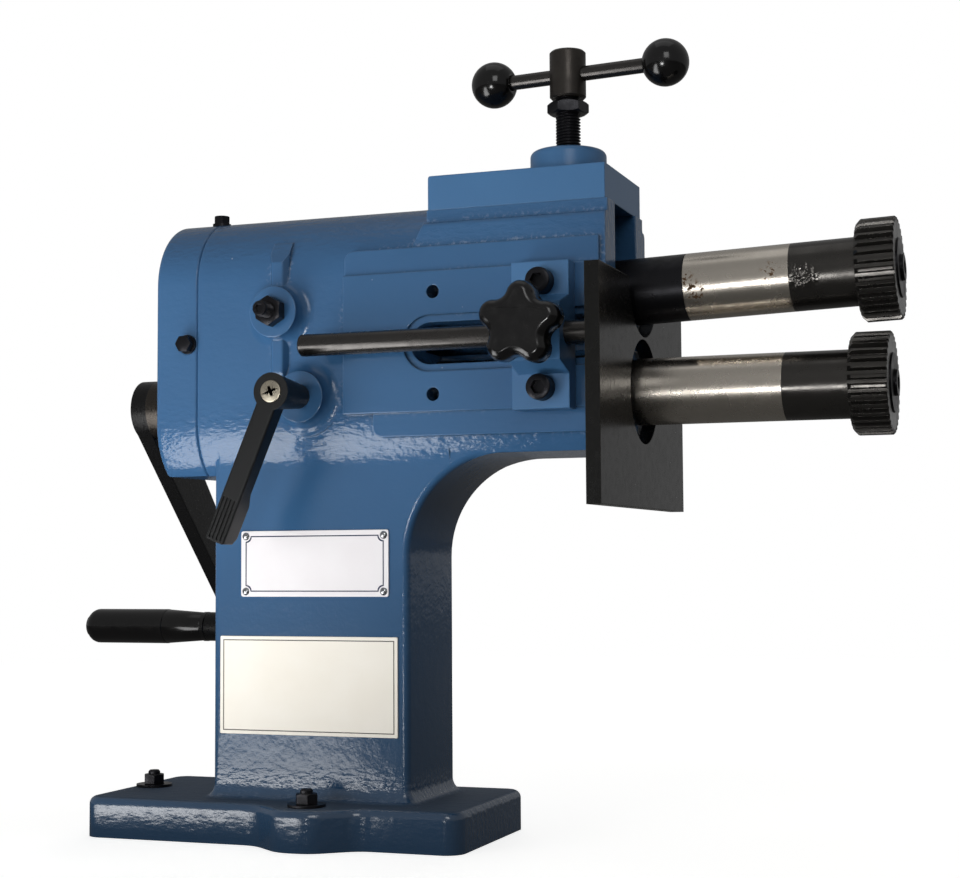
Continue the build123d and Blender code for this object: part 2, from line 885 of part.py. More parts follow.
def roll(start):
    face_start = start + roll_hub_length
    end = face_start + roll_face_length
    rim = extrude(Plane.YZ.offset(face_start) * roll_outline(), roll_face_length)
    envelope = Plane.XZ * make_face(
        Polyline(
            (face_start, 0),
            (face_start, roll_diameter / 2 - roll_chamfer),
            (face_start + roll_chamfer, roll_diameter / 2),
            (end - roll_outer_chamfer, roll_diameter / 2),
            (end, roll_diameter / 2 - roll_outer_chamfer),
            (end, 0),
            (face_start, 0),
        )
    )
    rim &= revolve(envelope, Axis.X)
    shape = rim + bar_x(collar_diameter, start, face_start + roll_chamfer)
    shape -= bar_x(shaft_diameter, start - cut_past, end + cut_past)
    shape -= bar_x(roll_washer_diameter + 2 * seat_gap, end - roll_recess, end + cut_past)
    return shape - key_room(start - cut_past, face_start)


def roll_phase():
    return 180 / roll_teeth if roll_teeth % 2 == 0 else 0


def key_room(start, end):
    top = shaft_diameter / 2 + key_height / 2 + key_top_gap
    return block((start, end), (-key_width / 2, key_width / 2), (shaft_diameter / 2 - key_height, top))


def key(start, length):
    low = shaft_diameter / 2 - key_height / 2
    return block((start, start + length), (-key_width / 2, key_width / 2), (low, low + key_height))


def shaft(left, right, key_starts):
    body = bar_x(shaft_diameter, left, right)
    body -= bar_x(roll_screw_diameter + 2 * screw_gap, right - roll_screw_length, right + cut_past)
    for start, length in key_starts:
        body -= key(start, length)
    return body


def spacer(start, end, outer):
    return bar_x(outer, start, end) - bar_x(shaft_diameter, start, end)


def bush(start):
    return bar_x(bush_diameter, start, start + bush_length) - bar_x(lower_bore, start, start + bush_length)


def roll_washer(end):
    left = end - roll_recess
    right = left + roll_washer_thickness
    disc = bar_x(roll_washer_diameter, left, right)
    disc -= bar_x(roll_screw_diameter + 2 * screw_gap, left - cut_past, right + cut_past)
    return disc - bar_x(roll_screw_head + 2 * seat_gap, right - roll_screw_sink, right + cut_past)


def roll_screw(end):
    seat = end - roll_recess + roll_washer_thickness - roll_screw_sink
    reach = roll_screw_length - hole_end_gap + seat - (end - roll_recess)
    screw = socket_screw(
        roll_screw_diameter,
        reach,
        roll_screw_head,
        roll_screw_head_height,
        roll_screw_socket,
        roll_screw_head_height / 2,
    )
    return Pos(seat, 0, 0) * Rot(0, 90, 0) * screw


def circlip(start):
    ring = bar_x(shaft_diameter + 2 * circlip_wall, start, start + circlip_width)
    ring -= bar_x(shaft_diameter, start, start + circlip_width)
    wide = (-circlip_gap / 2, circlip_gap / 2)
    return ring - block((start - cut_past, start + circlip_width + cut_past), wide, (-shaft_diameter, 0))


def on_lower(shape):
    return Pos(0, 0, lower_axis_z) * shape


def on_upper(shape):
    return spin_up * Pos(0, 0, pivot_z) * shape


lower_key_rows = [
    (gear_left, gear_width),
    (lower_roll_start + key_inset, key_length),
    (crank_hub_left + key_inset, crank_key_length),
]
upper_key_rows = [(gear_left, gear_width), (upper_roll_start + key_inset, key_length)]


def lower_quill():
    body = bar_x(quill_diameter, quill_left + quill_nose_length, quill_right)
    body += bar_x(quill_nose_diameter, quill_left, quill_left + quill_nose_length)
    body -= bar_x(relief_bore, quill_left - cut_past, quill_right + cut_past)
    body -= bar_x(bush_diameter, quill_left - cut_past, quill_left + bush_length)
    body -= bar_x(bush_diameter, quill_right - bush_length, quill_right + cut_past)
    room = plug_diameter / 2 + quill_slot_gap
    deep = quill_diameter / 2 - quill_slot_depth
    x_span = (clamp_x - room - quill_in, clamp_x + room + quill_out)
    return on_lower(body - block(x_span, (-quill_diameter, -deep), (-room, room)))


def lower_bushes():
    return [on_lower(bush(quill_left)), on_lower(bush(quill_right - bush_length))]


def rocker():
    half = rocker_width / 2
    body = block((rocker_left, rocker_shoulder), (-half, half), (-half, half))
    long_edges = edges_where(
        body, lambda p: abs(abs(p.Y) - half) < near and abs(abs(p.Z) - half) < near
    )
    body = fillet(long_edges, rocker_edge)
    body += bar_x(collar_diameter, rocker_shoulder, rocker_nose_end)
    body -= bar_x(relief_bore, rocker_left - cut_past, rocker_nose_end + cut_past)
    body -= bar_x(bush_diameter, rocker_left - cut_past, rocker_left + bush_length)
    body -= bar_x(bush_diameter, rocker_nose_end - bush_length, rocker_nose_end + cut_past)
    hole = pivot_point_diameter + 2 * running_gap
    depth = half - pivot_point_length - seat_gap
    body -= bar_y(hole, -half - cut_past, -depth, pivot_x)
    body -= bar_y(hole, depth, half + cut_past, pivot_x)
    pocket = spring_diameter + 2 * spring_wire
    body -= bar_z(pocket, -half - cut_past, -half + spring_pocket, spring_x)
    return on_upper(body)


def upper_bushes():
    return [on_upper(bush(rocker_left)), on_upper(bush(rocker_nose_end - bush_length))]


# Crank, with its arm hanging down and back
def crank_place():
    return Pos(0, 0, lower_axis_z) * Rot(crank_angle, 0, 0)


def crank_arm():
    hub = bar_x(crank_hub_diameter, crank_hub_left, gear_left)
    left = crank_hub_left
    right = left + crank_arm_thickness
    start = crank_arm_start / 2
    end = crank_arm_end / 2
    arm_face = make_face(
        Plane.YZ.offset(left)
        * Polyline((-start, 0), (-end, -crank_radius), (end, -crank_radius), (start, 0), (-start, 0))
    )
    arm = extrude(arm_face, crank_arm_thickness)
    boss = bar_x(crank_boss_diameter, left - crank_boss_length + crank_arm_thickness, right, z=-crank_radius)
    shape = hub + arm + boss
    shape -= bar_x(shaft_diameter, left - cut_past, gear_left + cut_past)
    spindle_hole = spindle_diameter + 2 * screw_gap
    shape -= bar_x(spindle_hole, left - crank_boss_length, right + cut_past, z=-crank_radius)
    shape -= bar_z(crank_set_screw + 2 * screw_gap, 0, crank_hub_diameter, crank_set_x())
    return crank_place() * shape - on_lower(key_room(crank_hub_left - cut_past, gear_left + cut_past))


def crank_set_x():
    return (crank_hub_left + crank_arm_thickness + cover_left) / 2


def crank_set_piece():
    low = shaft_diameter / 2
    screw = bar_z(crank_set_screw, low, crank_hub_diameter / 2, crank_set_x())
    socket = Pos(crank_set_x(), 0, crank_hub_diameter / 2 - crank_set_socket)
    screw -= socket * hexagon(crank_set_socket, crank_set_socket)
    return crank_place() * screw


def grip_right():
    return crank_hub_left - crank_boss_length + crank_arm_thickness - seat_gap


def handle_spindle():
    right = crank_hub_left + crank_arm_thickness
    left = grip_right() - grip_length
    body = bar_x(spindle_diameter, left + spindle_head + seat_gap, right, z=-crank_radius)
    body += bar_x(spindle_head_diameter, left + seat_gap, left + spindle_head + seat_gap, z=-crank_radius)
    return crank_place() * body


def crank_grip():
    right = grip_right()
    left = right - grip_length
    wide = grip_diameter / 2
    neck = grip_neck_diameter / 2
    collar = right - grip_collar_length
    profile = make_face(
        Plane.XZ
        * Polyline(
            (left, 0),
            (left, wide - grip_end_chamfer),
            (left + grip_end_chamfer, wide),
            (left + grip_taper_start, wide),
            (collar, neck),
            (collar, grip_collar_diameter / 2),
            (right, grip_collar_diameter / 2),
            (right, 0),
            (left, 0),
        )
    )
    body = revolve(profile, Axis.X)
    body -= bar_x(spindle_diameter + 2 * running_gap, left - cut_past, right + cut_past)
    body -= bar_x(spindle_head_diameter + 2 * seat_gap, left - cut_past, left + spindle_head + 2 * seat_gap)
    return crank_place() * Pos(0, 0, -crank_radius) * body


# Pressure screw
def pressure_shoe():
    top = shoe_bottom + shoe_height
    shape = bar_z(shoe_diameter, shoe_bottom, top, screw_x)
    shape &= Pos(screw_x, 0, shoe_bottom + shoe_dome_radius) * Sphere(shoe_dome_radius)
    hole = screw_point_diameter + 2 * running_gap
    return shape - bar_z(hole, top - screw_point_length - seat_gap, top + cut_past, screw_x)


def pressure_screw():
    shoulder = shoe_bottom + shoe_height + seat_gap
    shape = bar_z(screw_diameter, shoulder, tee_bottom + tee_socket, screw_x)
    return shape + bar_z(screw_point_diameter, shoulder - screw_point_length, shoulder, screw_x)


def screw_lock_nut():
    nut = hexagon(screw_nut_flats, screw_nut_height) - bar_z(screw_diameter, 0, screw_nut_height)
    return Pos(screw_x, 0, tee_bottom - screw_nut_gap - screw_nut_height) * Rot(0, 0, screw_nut_turn) * nut


# The bar stands a little out of line with the shafts, its right end towards the front.
def on_bar(shape):
    return Pos(screw_x, 0, tommy_z) * Rot(0, 0, -tommy_yaw) * shape


def tee_hub():
    shape = bar_z(tee_diameter, tee_bottom, tee_bottom + tee_height, screw_x)
    rims = edges_where(shape, lambda p: abs(p.Z - tommy_z) > tee_height / 2 - near)
    shape = chamfer(rims, tee_edge)
    shape -= bar_z(screw_diameter, tee_bottom - cut_past, tee_bottom + tee_socket, screw_x)
    half = tee_diameter / 2 + cut_past
    return shape - on_bar(bar_x(tommy_diameter + 2 * sliding_gap, -half, half))


def ball_centres():
    return tommy_offset - tommy_span / 2, tommy_offset + tommy_span / 2


def ball_flat_depth():
    return sqrt(ball_diameter ** 2 - ball_flat_diameter ** 2) / 2


def tommy_bar():
    left, right = ball_centres()
    sink = ball_flat_depth() - ball_socket
    return on_bar(bar_x(tommy_diameter, left + sink, right - sink))


def ball_knobs():
    left, right = ball_centres()
    flat = ball_flat_depth()
    ball = Sphere(ball_diameter / 2) - block(
        (flat, ball_diameter), (-ball_diameter, ball_diameter), (-ball_diameter, ball_diameter)
    )
    ball -= bar_x(tommy_diameter, flat - ball_socket, flat + cut_past)
    return [on_bar(Pos(left, 0, 0) * ball), on_bar(Pos(right, 0, 0) * Rot(0, 0, 180) * ball)]


# The lift spring stands on the channel floor and reaches into the rocker's pocket.
def lift_spring():
    drop = rocker_width / 2 - spring_pocket
    ceiling = pivot_z + (spring_x - pivot_x) * tan(radians(rest_tilt)) - drop / cos(radians(rest_tilt))
    low = channel_floor + spring_wire / 2 + seat_gap
    high = ceiling - spring_wire / 2 - 2 * seat_gap
    coil_radius = (spring_diameter - spring_wire) / 2
    path = Helix((high - low) / spring_turns, high - low, coil_radius)
    section = Plane(origin=path @ 0, z_dir=path % 0) * Circle(spring_wire / 2)
    return Pos(spring_x, 0, low) * sweep(section, path=path, is_frenet=True)


# Fence, bracket and knob
def fence_plate():
    half = fence_width / 2
    right = fence_left + fence_thickness
    plate_body = block((fence_left, right), (-half, half), (fence_bottom, fence_top))
    mouth = fence_left - cut_past
    for z in (lower_axis_z, lower_axis_z + fence_notch_rise):
        plate_body -= bar_x(fence_hole, mouth, right + cut_past, z=z)
    return plate_body - bar_x(rod_spigot_diameter, mouth, fence_left + rod_spigot_length, rod_y, rod_z)


def fence_rod():
    rod = bar_x(rod_diameter, rod_left, fence_left, rod_y, rod_z)
    rod = chamfer(edges_where(rod, lambda p: p.X < rod_left + near), rod_edge)
    return rod + bar_x(rod_spigot_diameter, fence_left, fence_left + rod_spigot_length, rod_y, rod_z)


def fence_bracket():
    right = bracket_left + bracket_width
    low = rod_z - bracket_height / 2
    high = rod_z + bracket_height / 2
    inner_low = low + bracket_flange_height
    inner_high = high - bracket_flange_height
    flange = block((bracket_left, right), (band_front - bracket_flange, band_front), (low, high))
    face = band_front - bracket_flange
    side = Polyline(
        (band_front, inner_low),
        (band_front, inner_high),
        (face, inner_high),
        (bracket_front, inner_high - bracket_slope),
        (bracket_front, inner_low + bracket_slope),
        (face, inner_low),
        (band_front, inner_low),
    )
    core_left = bracket_left + bracket_core_inset
    core = extrude(make_face(Plane.YZ.offset(core_left) * side), right - core_left)
    shape = flange + core
    shape -= bar_x(rod_diameter + 2 * sliding_gap, bracket_left - cut_past, right + cut_past, rod_y, rod_z)
    stud_hole = knob_stud_diameter + 2 * screw_gap
    shape -= bar_y(stud_hole, bracket_front - cut_past, rod_y, bracket_screw_x, rod_z)
    for z in bracket_screw_rises:
        hole = bracket_screw_diameter + 2 * screw_gap
        shape -= bar_y(hole, face - cut_past, band_front + cut_past, bracket_screw_x, z)
    return shape


def bracket_screws():
    reach = bracket_flange + bracket_screw_reach
    screw = socket_screw(
        bracket_screw_diameter,
        reach,
        bracket_screw_head,
        bracket_screw_head_height,
        bracket_screw_socket,
        bracket_screw_socket_depth,
    )
    face = band_front - bracket_flange
    return [Pos(bracket_screw_x, face, z) * Rot(90, 0, 0) * screw for z in bracket_screw_rises]


# The knob's parts are built along +Z, outwards, and then turned to face the front.
def knob_place():
    return Pos(bracket_screw_x, bracket_front, rod_z) * Rot(90, 0, 0)


def knob_pad_span():
    inner = bracket_front - (rod_y - rod_diameter / 2) + sliding_gap
    return inner, inner + knob_pad_length


def knob_outline():
    reach = knob_diameter / 2 - knob_lobe_radius
    half_step = pi / knob_lobes
    along = reach * cos(half_step)
    spread = reach ** 2 + knob_core_radius ** 2 - 2 * along * knob_core_radius - knob_lobe_radius ** 2
    valley_radius = spread / (2 * (knob_lobe_radius + along - knob_core_radius))
    share = knob_lobe_radius / (knob_lobe_radius + valley_radius)

    def at(radius, turn):
        return Vector(radius * cos(turn), radius * sin(turn))

    def meeting(lobe_turn, valley_turn):
        lobe = at(reach, lobe_turn)
        return lobe + (at(knob_core_radius + valley_radius, valley_turn) - lobe) * share

    outline = Curve()
    for index in range(knob_lobes):
        turn = radians(90 + knob_turn) + 2 * half_step * index
        first = meeting(turn, turn - half_step)
        last = meeting(turn, turn + half_step)
        following = meeting(turn + 2 * half_step, turn + half_step)
        outline += ThreePointArc(first, at(knob_diameter / 2, turn), last)
        outline += ThreePointArc(last, at(knob_core_radius, turn + half_step), following)
    return make_face(outline)


def fence_knob():
    bottom = knob_gap + knob_neck_length
    body = extrude(Pos(0, 0, bottom) * knob_outline(), knob_thickness)
    body = fillet(edges_where(body, lambda p: p.Z > bottom + knob_thickness - near), knob_edge)
    body += bar_z(knob_neck_diameter, knob_gap, bottom)
    return knob_place() * (body - bar_z(knob_stud_diameter, knob_gap - cut_past, bottom + knob_stud_sink))


def fence_knob_stud():
    top = knob_gap + knob_neck_length + knob_stud_sink
    return knob_place() * bar_z(knob_stud_diameter, knob_pad_span()[1] + seat_gap, top)


def fence_clamp_pad():
    return knob_place() * bar_z(knob_pad_diameter, *knob_pad_span())


# The lever's parts are built along +Z, outwards from the boss, with the arm hanging to -Y.
def lever_place():
    return Pos(clamp_x, boss_front - seat_gap, lower_axis_z) * Rot(90, 0, 0) * Rot(0, 0, -lever_angle)


def plug_span():
    inner = boss_front - seat_gap + quill_diameter / 2 - quill_slot_depth + sliding_gap
    return inner, inner + plug_length


def clamp_lever():
    top = lever_hub_length
    low = top - lever_thickness
    slope = 2 * lever_tip_bulge
    side = make_face(
        Plane.YZ
        * Polyline(
            (0, top),
            (-lever_length, top),
            (-lever_length, low),
            (lever_tip_bulge - lever_length, low - lever_tip_bulge),
            (lever_tip_length - slope - lever_length, low - lever_tip_bulge),
            (lever_tip_length - lever_length, low),
            (0, low),
            (0, top),
        )
    )
    arm = extrude(side, lever_width / 2, both=True)
    rims = edges_where(arm, lambda p: abs(abs(p.X) - lever_width / 2) < near and p.Y < -near)
    arm = fillet(rims, lever_edge)
    pitch = lever_width / (lever_groove_count + 1)
    end = lever_edge - lever_length
    for index in range(lever_groove_count):
        x = pitch * (index - (lever_groove_count - 1) / 2)
        x_span = (x - lever_groove_width / 2, x + lever_groove_width / 2)
        arm -= block(x_span, (end, end + lever_groove_length), (top - lever_groove_depth, top + cut_past))
    hub = Cone(lever_foot_diameter / 2, lever_hub_diameter / 2, top, align=low_end)
    shape = hub + arm
    shape -= bar_z(lever_stud_diameter, -cut_past, lever_stud_sink)
    seat = top - lever_screw_recess
    shape -= bar_z(lever_screw_diameter + 2 * screw_gap, seat, top + cut_past)
    shape -= bar_z(lever_screw_shank, seat - lever_screw_length, top)
    return lever_place() * shape


def clamp_lever_screw():
    seat = lever_hub_length - lever_screw_recess
    head = bar_z(lever_screw_diameter, seat, lever_hub_length + lever_screw_proud)
    return lever_place() * (head + bar_z(lever_screw_shank, seat - lever_screw_length, seat))


def clamp_lever_stud():
    return lever_place() * bar_z(lever_stud_diameter, plug_span()[1] + seat_gap, lever_stud_sink)


def quill_clamp_plug():
    return lever_place() * bar_z(plug_diameter, *plug_span())


lower_shaft_end = lower_roll_end - roll_recess
upper_shaft_end = upper_roll_end - roll_recess

nodes = {
    "frame_casting": frame_casting(),
    "pressure_cap": pressure_cap(),
    "cap_screws": cap_screws(),
    "gear_cover": gear_cover(),
    "gear_cover_screws": cover_screws(),
    "gear_cover_washers": cover_washers(),
    "hold_down_bolts": hold_down_bolts(),
    "hold_down_washers": hold_down_washers(),
    "pivot_screws": pivot_screws(),
    "pivot_lock_nuts": pivot_lock_nuts(),
    "name_plate": plate(name_plate_length, name_plate_height, name_plate_x, name_plate_z),
    "name_plate_rivets": name_plate_rivets(),
    "data_plate": plate(data_plate_length, data_plate_height, data_plate_x, data_plate_z),
    "fence_bracket": fence_bracket(),
    "bracket_screws": bracket_screws(),
    "lift_spring": lift_spring(),
    "lower_quill": lower_quill(),
    "lower_bushes": lower_bushes(),
    "lower_shaft": on_lower(shaft(crank_hub_left, lower_shaft_end, lower_key_rows)),
    "lower_keys": [on_lower(key(*row)) for row in lower_key_rows],
    "lower_gear": on_lower(gear()),
    "lower_thrust_ring": on_lower(spacer(gear_right, quill_left - seat_gap, quill_nose_diameter)),
    "lower_spacer": on_lower(spacer(quill_right + seat_gap, lower_roll_start, collar_diameter)),
    "lower_roll": on_lower(roll(lower_roll_start)),
    "lower_roll_washer": on_lower(roll_washer(lower_roll_end)),
    "lower_roll_screw": on_lower(roll_screw(lower_roll_end)),
    "crank_arm": crank_arm(),
    "crank_set_screw": crank_set_piece(),
    "handle_spindle": handle_spindle(),
    "crank_grip": crank_grip(),
    "rocker": rocker(),
    "upper_bushes": upper_bushes(),
    "upper_shaft": on_upper(shaft(gear_left - circlip_width - circlip_land, upper_shaft_end, upper_key_rows)),
    "upper_keys": [on_upper(key(*row)) for row in upper_key_rows],
    "upper_gear": on_upper(gear()),
    "upper_circlip": on_upper(circlip(gear_left - circlip_width)),
    "upper_thrust_ring": on_upper(spacer(gear_right, rocker_left - seat_gap, gear_hub_diameter)),
    "upper_spacer": on_upper(spacer(rocker_nose_end + seat_gap, upper_roll_start, collar_diameter)),
    "upper_roll": on_upper(Rot(roll_phase(), 0, 0) * roll(upper_roll_start)),
    "upper_roll_washer": on_upper(roll_washer(upper_roll_end)),
    "upper_roll_screw": on_upper(roll_screw(upper_roll_end)),
    "pressure_shoe": pressure_shoe(),
    "pressure_screw": pressure_screw(),
    "screw_lock_nut": screw_lock_nut(),
    "tee_hub": tee_hub(),
    "tommy_bar": tommy_bar(),
    "ball_knobs": ball_knobs(),
    "fence_plate": fence_plate(),
    "fence_rod": fence_rod(),
    "fence_clamp_pad": fence_clamp_pad(),
    "fence_knob": fence_knob(),
    "fence_knob_stud": fence_knob_stud(),
    "quill_clamp_plug": quill_clamp_plug(),
    "clamp_lever": clamp_lever(),
    "clamp_lever_stud": clamp_lever_stud(),
    "clamp_lever_screw": clamp_lever_screw(),
}

for name, shape in nodes.items():
    shape = Compound(children=shape) if isinstance(shape, list) else shape
    export_step(shape, f"parts/{name}.step")
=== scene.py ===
import bmesh
import bpy
import json
from bmesh.types import BMEdge, BMFace, BMVert
from math import atan2, ceil, cos, degrees, pi, radians, sin, sqrt, tan
from mathutils import Matrix, Vector


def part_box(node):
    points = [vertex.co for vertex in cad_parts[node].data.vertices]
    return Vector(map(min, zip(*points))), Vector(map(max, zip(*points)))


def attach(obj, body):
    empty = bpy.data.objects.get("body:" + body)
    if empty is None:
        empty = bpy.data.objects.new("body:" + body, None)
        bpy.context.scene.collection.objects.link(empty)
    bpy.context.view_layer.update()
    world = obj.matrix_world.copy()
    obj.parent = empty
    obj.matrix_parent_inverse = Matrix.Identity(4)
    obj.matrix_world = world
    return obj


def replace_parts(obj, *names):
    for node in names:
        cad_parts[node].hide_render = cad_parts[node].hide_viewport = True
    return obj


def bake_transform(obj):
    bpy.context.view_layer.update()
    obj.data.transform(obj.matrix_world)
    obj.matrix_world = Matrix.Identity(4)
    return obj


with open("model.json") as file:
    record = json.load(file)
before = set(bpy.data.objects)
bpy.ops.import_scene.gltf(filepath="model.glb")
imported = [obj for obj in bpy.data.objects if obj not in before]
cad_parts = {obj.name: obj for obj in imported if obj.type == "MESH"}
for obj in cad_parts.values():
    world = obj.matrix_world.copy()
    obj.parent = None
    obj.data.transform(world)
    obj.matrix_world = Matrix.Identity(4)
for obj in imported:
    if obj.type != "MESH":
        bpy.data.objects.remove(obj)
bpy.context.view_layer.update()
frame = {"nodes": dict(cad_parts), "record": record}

scene = bpy.context.scene
scene.view_settings.view_transform = "Standard"
record = frame["record"]
bodyOf = {node: body for body, members in record["behaviour"]["bodies"].items() for node in members}


# sRGB hex to the linear colour that sockets take
def tint(hexColour):
    parts = [int(hexColour[i:i + 2], 16) / 255 for i in (1, 3, 5)]
    return (*[c / 12.92 if c <= 0.04045 else ((c + 0.055) / 1.055) ** 2.4 for c in parts], 1.0)


# pattern scale for a feature of this many millimetres, on coordinates in metres
def grain(size):
    return 1000.0 / size


# one node, its settings, and its inputs: a socket is linked, anything else is set
def addNode(tree, kind, settings=None, inputs=None):
    node = tree.nodes.new("ShaderNode" + kind)
    for key, value in (settings or {}).items():
        setattr(node, key, value)
    for key, value in (inputs or {}).items():
        if isinstance(value, bpy.types.NodeSocket):
            tree.links.new(value, node.inputs[key])
        else:
            node.inputs[key].default_value = value
    return node


def newMaterial(name, metallic=0.0, roughness=0.5, specular=0.5):
    material = bpy.data.materials.new(name)
    material.use_nodes = True
    shader = material.node_tree.nodes["Principled BSDF"]
    shader.inputs["Metallic"].default_value = metallic
    shader.inputs["Roughness"].default_value = roughness
    shader.inputs["Specular IOR Level"].default_value = specular
    return material, addNode(material.node_tree, "TexCoord").outputs["Object"]


def feed(material, sources):
    shader = material.node_tree.nodes["Principled BSDF"]
    for name, source in sources.items():
        material.node_tree.links.new(source, shader.inputs[name])
    return material


# The next few add a node to the tree that their socket is in, and return its output.

def noise(vector, size, detail):
    inputs = {"Vector": vector, "Scale": grain(size), "Detail": detail}
    return addNode(vector.id_data, "TexNoise", None, inputs).outputs["Fac"]


def remap(value, span, levels=(0.0, 1.0), smooth=False):
    settings = {"interpolation_type": "SMOOTHSTEP"} if smooth else None
    inputs = {"Value": value, "From Min": span[0], "From Max": span[1], "To Min": levels[0], "To Max": levels[1]}
    return addNode(value.id_data, "MapRange", settings, inputs).outputs["Result"]


def maths(operation, first, second):
    return addNode(first.id_data, "Math", {"operation": operation}, {0: first, 1: second}).outputs[0]


# each colour is a hex string or a socket
def mixColour(share, first, second):
    first, second = (tint(colour) if isinstance(colour, str) else colour for colour in (first, second))
    return addNode(share.id_data, "Mix", {"data_type": "RGBA"}, {0: share, 6: first, 7: second}).outputs[2]


def mixValue(share, first, second):
    return addNode(share.id_data, "Mix", {"data_type": "FLOAT"}, {0: share, 2: first, 3: second}).outputs[0]


def splitAxes(vector):
    return addNode(vector.id_data, "SeparateXYZ", None, {0: vector}).outputs


def scaleAxes(vector, scale):
    return addNode(vector.id_data, "Mapping", None, {"Vector": vector, "Scale": scale}).outputs["Vector"]


def vectorMaths(operation, first, second):
    return addNode(first.id_data, "VectorMath", {"operation": operation}, {0: first, 1: second}).outputs


def distanceTo(vector, place):
    return vectorMaths("DISTANCE", vector, place)["Value"]


def faceNormal(tree):
    return addNode(tree, "NewGeometry").outputs["Normal"]


def roundEdge(tree, radius, samples=4):
    return addNode(tree, "Bevel", {"samples": samples}, {"Radius": radius}).outputs["Normal"]


# 1 on a flat face, and less where the rounded edge turns away from it
def edgeLean(edge):
    return vectorMaths("DOT_PRODUCT", edge, faceNormal(edge.id_data))["Value"]


def bump(strength, distance, height, normal=None):
    inputs = {"Strength": strength, "Distance": distance, "Height": height}
    if normal:
        inputs["Normal"] = normal
    return addNode(height.id_data, "Bump", None, inputs).outputs["Normal"]


# a look's marks, on top of its rounded edges
def marked(look, height):
    return bump(*look["depth"], height, roundEdge(height.id_data, look["edge"]))


# Materials. Pattern sizes are in millimetres, edges and heights in metres. A pair of pairs says over
# which span an effect changes and how strong it is at both ends; a depth is a bump's strength and distance.

# Some colours here stand for light: a dark one paints shade low down and in the inside corners, and pale ones paint
# highlights along the edges and a little way off the corners.
enamelLook = {
    "colour": "#3a638c", "deep": "#33587f", "paintedShade": "#1a2c3d", "dust": "#1c2832", "chipAndGlint": "#a9b6c6",
    "thinAndLit": "#6d93bb", "edge": 0.0016, "corner": 0.009,
    "drift": 70.0, "lump": 9.0, "ripple": 3.4, "run": (0.45, 1.0, 1.0), "peel": 2.2,
    "speck": 24.0, "crumb": 2.6, "gap": 28.0,
    "lumpDepth": (0.28, 0.0006), "rippleDistance": 0.0009, "peelDistance": 0.0003,
    "paintedShadeLow": ((0.02, 0.26), (0.62, 0.0)), "upward": ((0.75, 0.98), (0.0, 0.75)), "fleck": ((0.018, 0.03), (0.5, 0.0)),
    "edgeSpan": ((0.97, 0.8), (0.0, 0.7)), "bead": ((0.995, 0.9), (0.24, 1.0)),
    "machined": ((-0.0488, -0.0482), (0.25, 1.0)), "cornerShade": ((0.2, 0.75), (0.85, 0.0)),
    "inner": ((0.5, 0.66), (0.0, 1.0)), "outer": ((0.7, 0.86), (1.0, 0.0)),
    "ragged": ((0.5, 0.66), (0.0, 0.55)), "lengths": ((0.42, 0.58), (0.0, 1.0)),
    "foot": ((0.035, 0.05), (0.8, 0.0)), "belly": ((0.232, 0.252), (0.0, 1.0)),
    "above": ((0.268, 0.29), (0.75, 0.2)), "ledge": ((0.374, 0.379), (0.0, 0.9)),
    "shine": ((0.0, 0.5), (0.15, 0.8)), "oily": ((0.032, 0.045), (1.0, 0.5)),
}
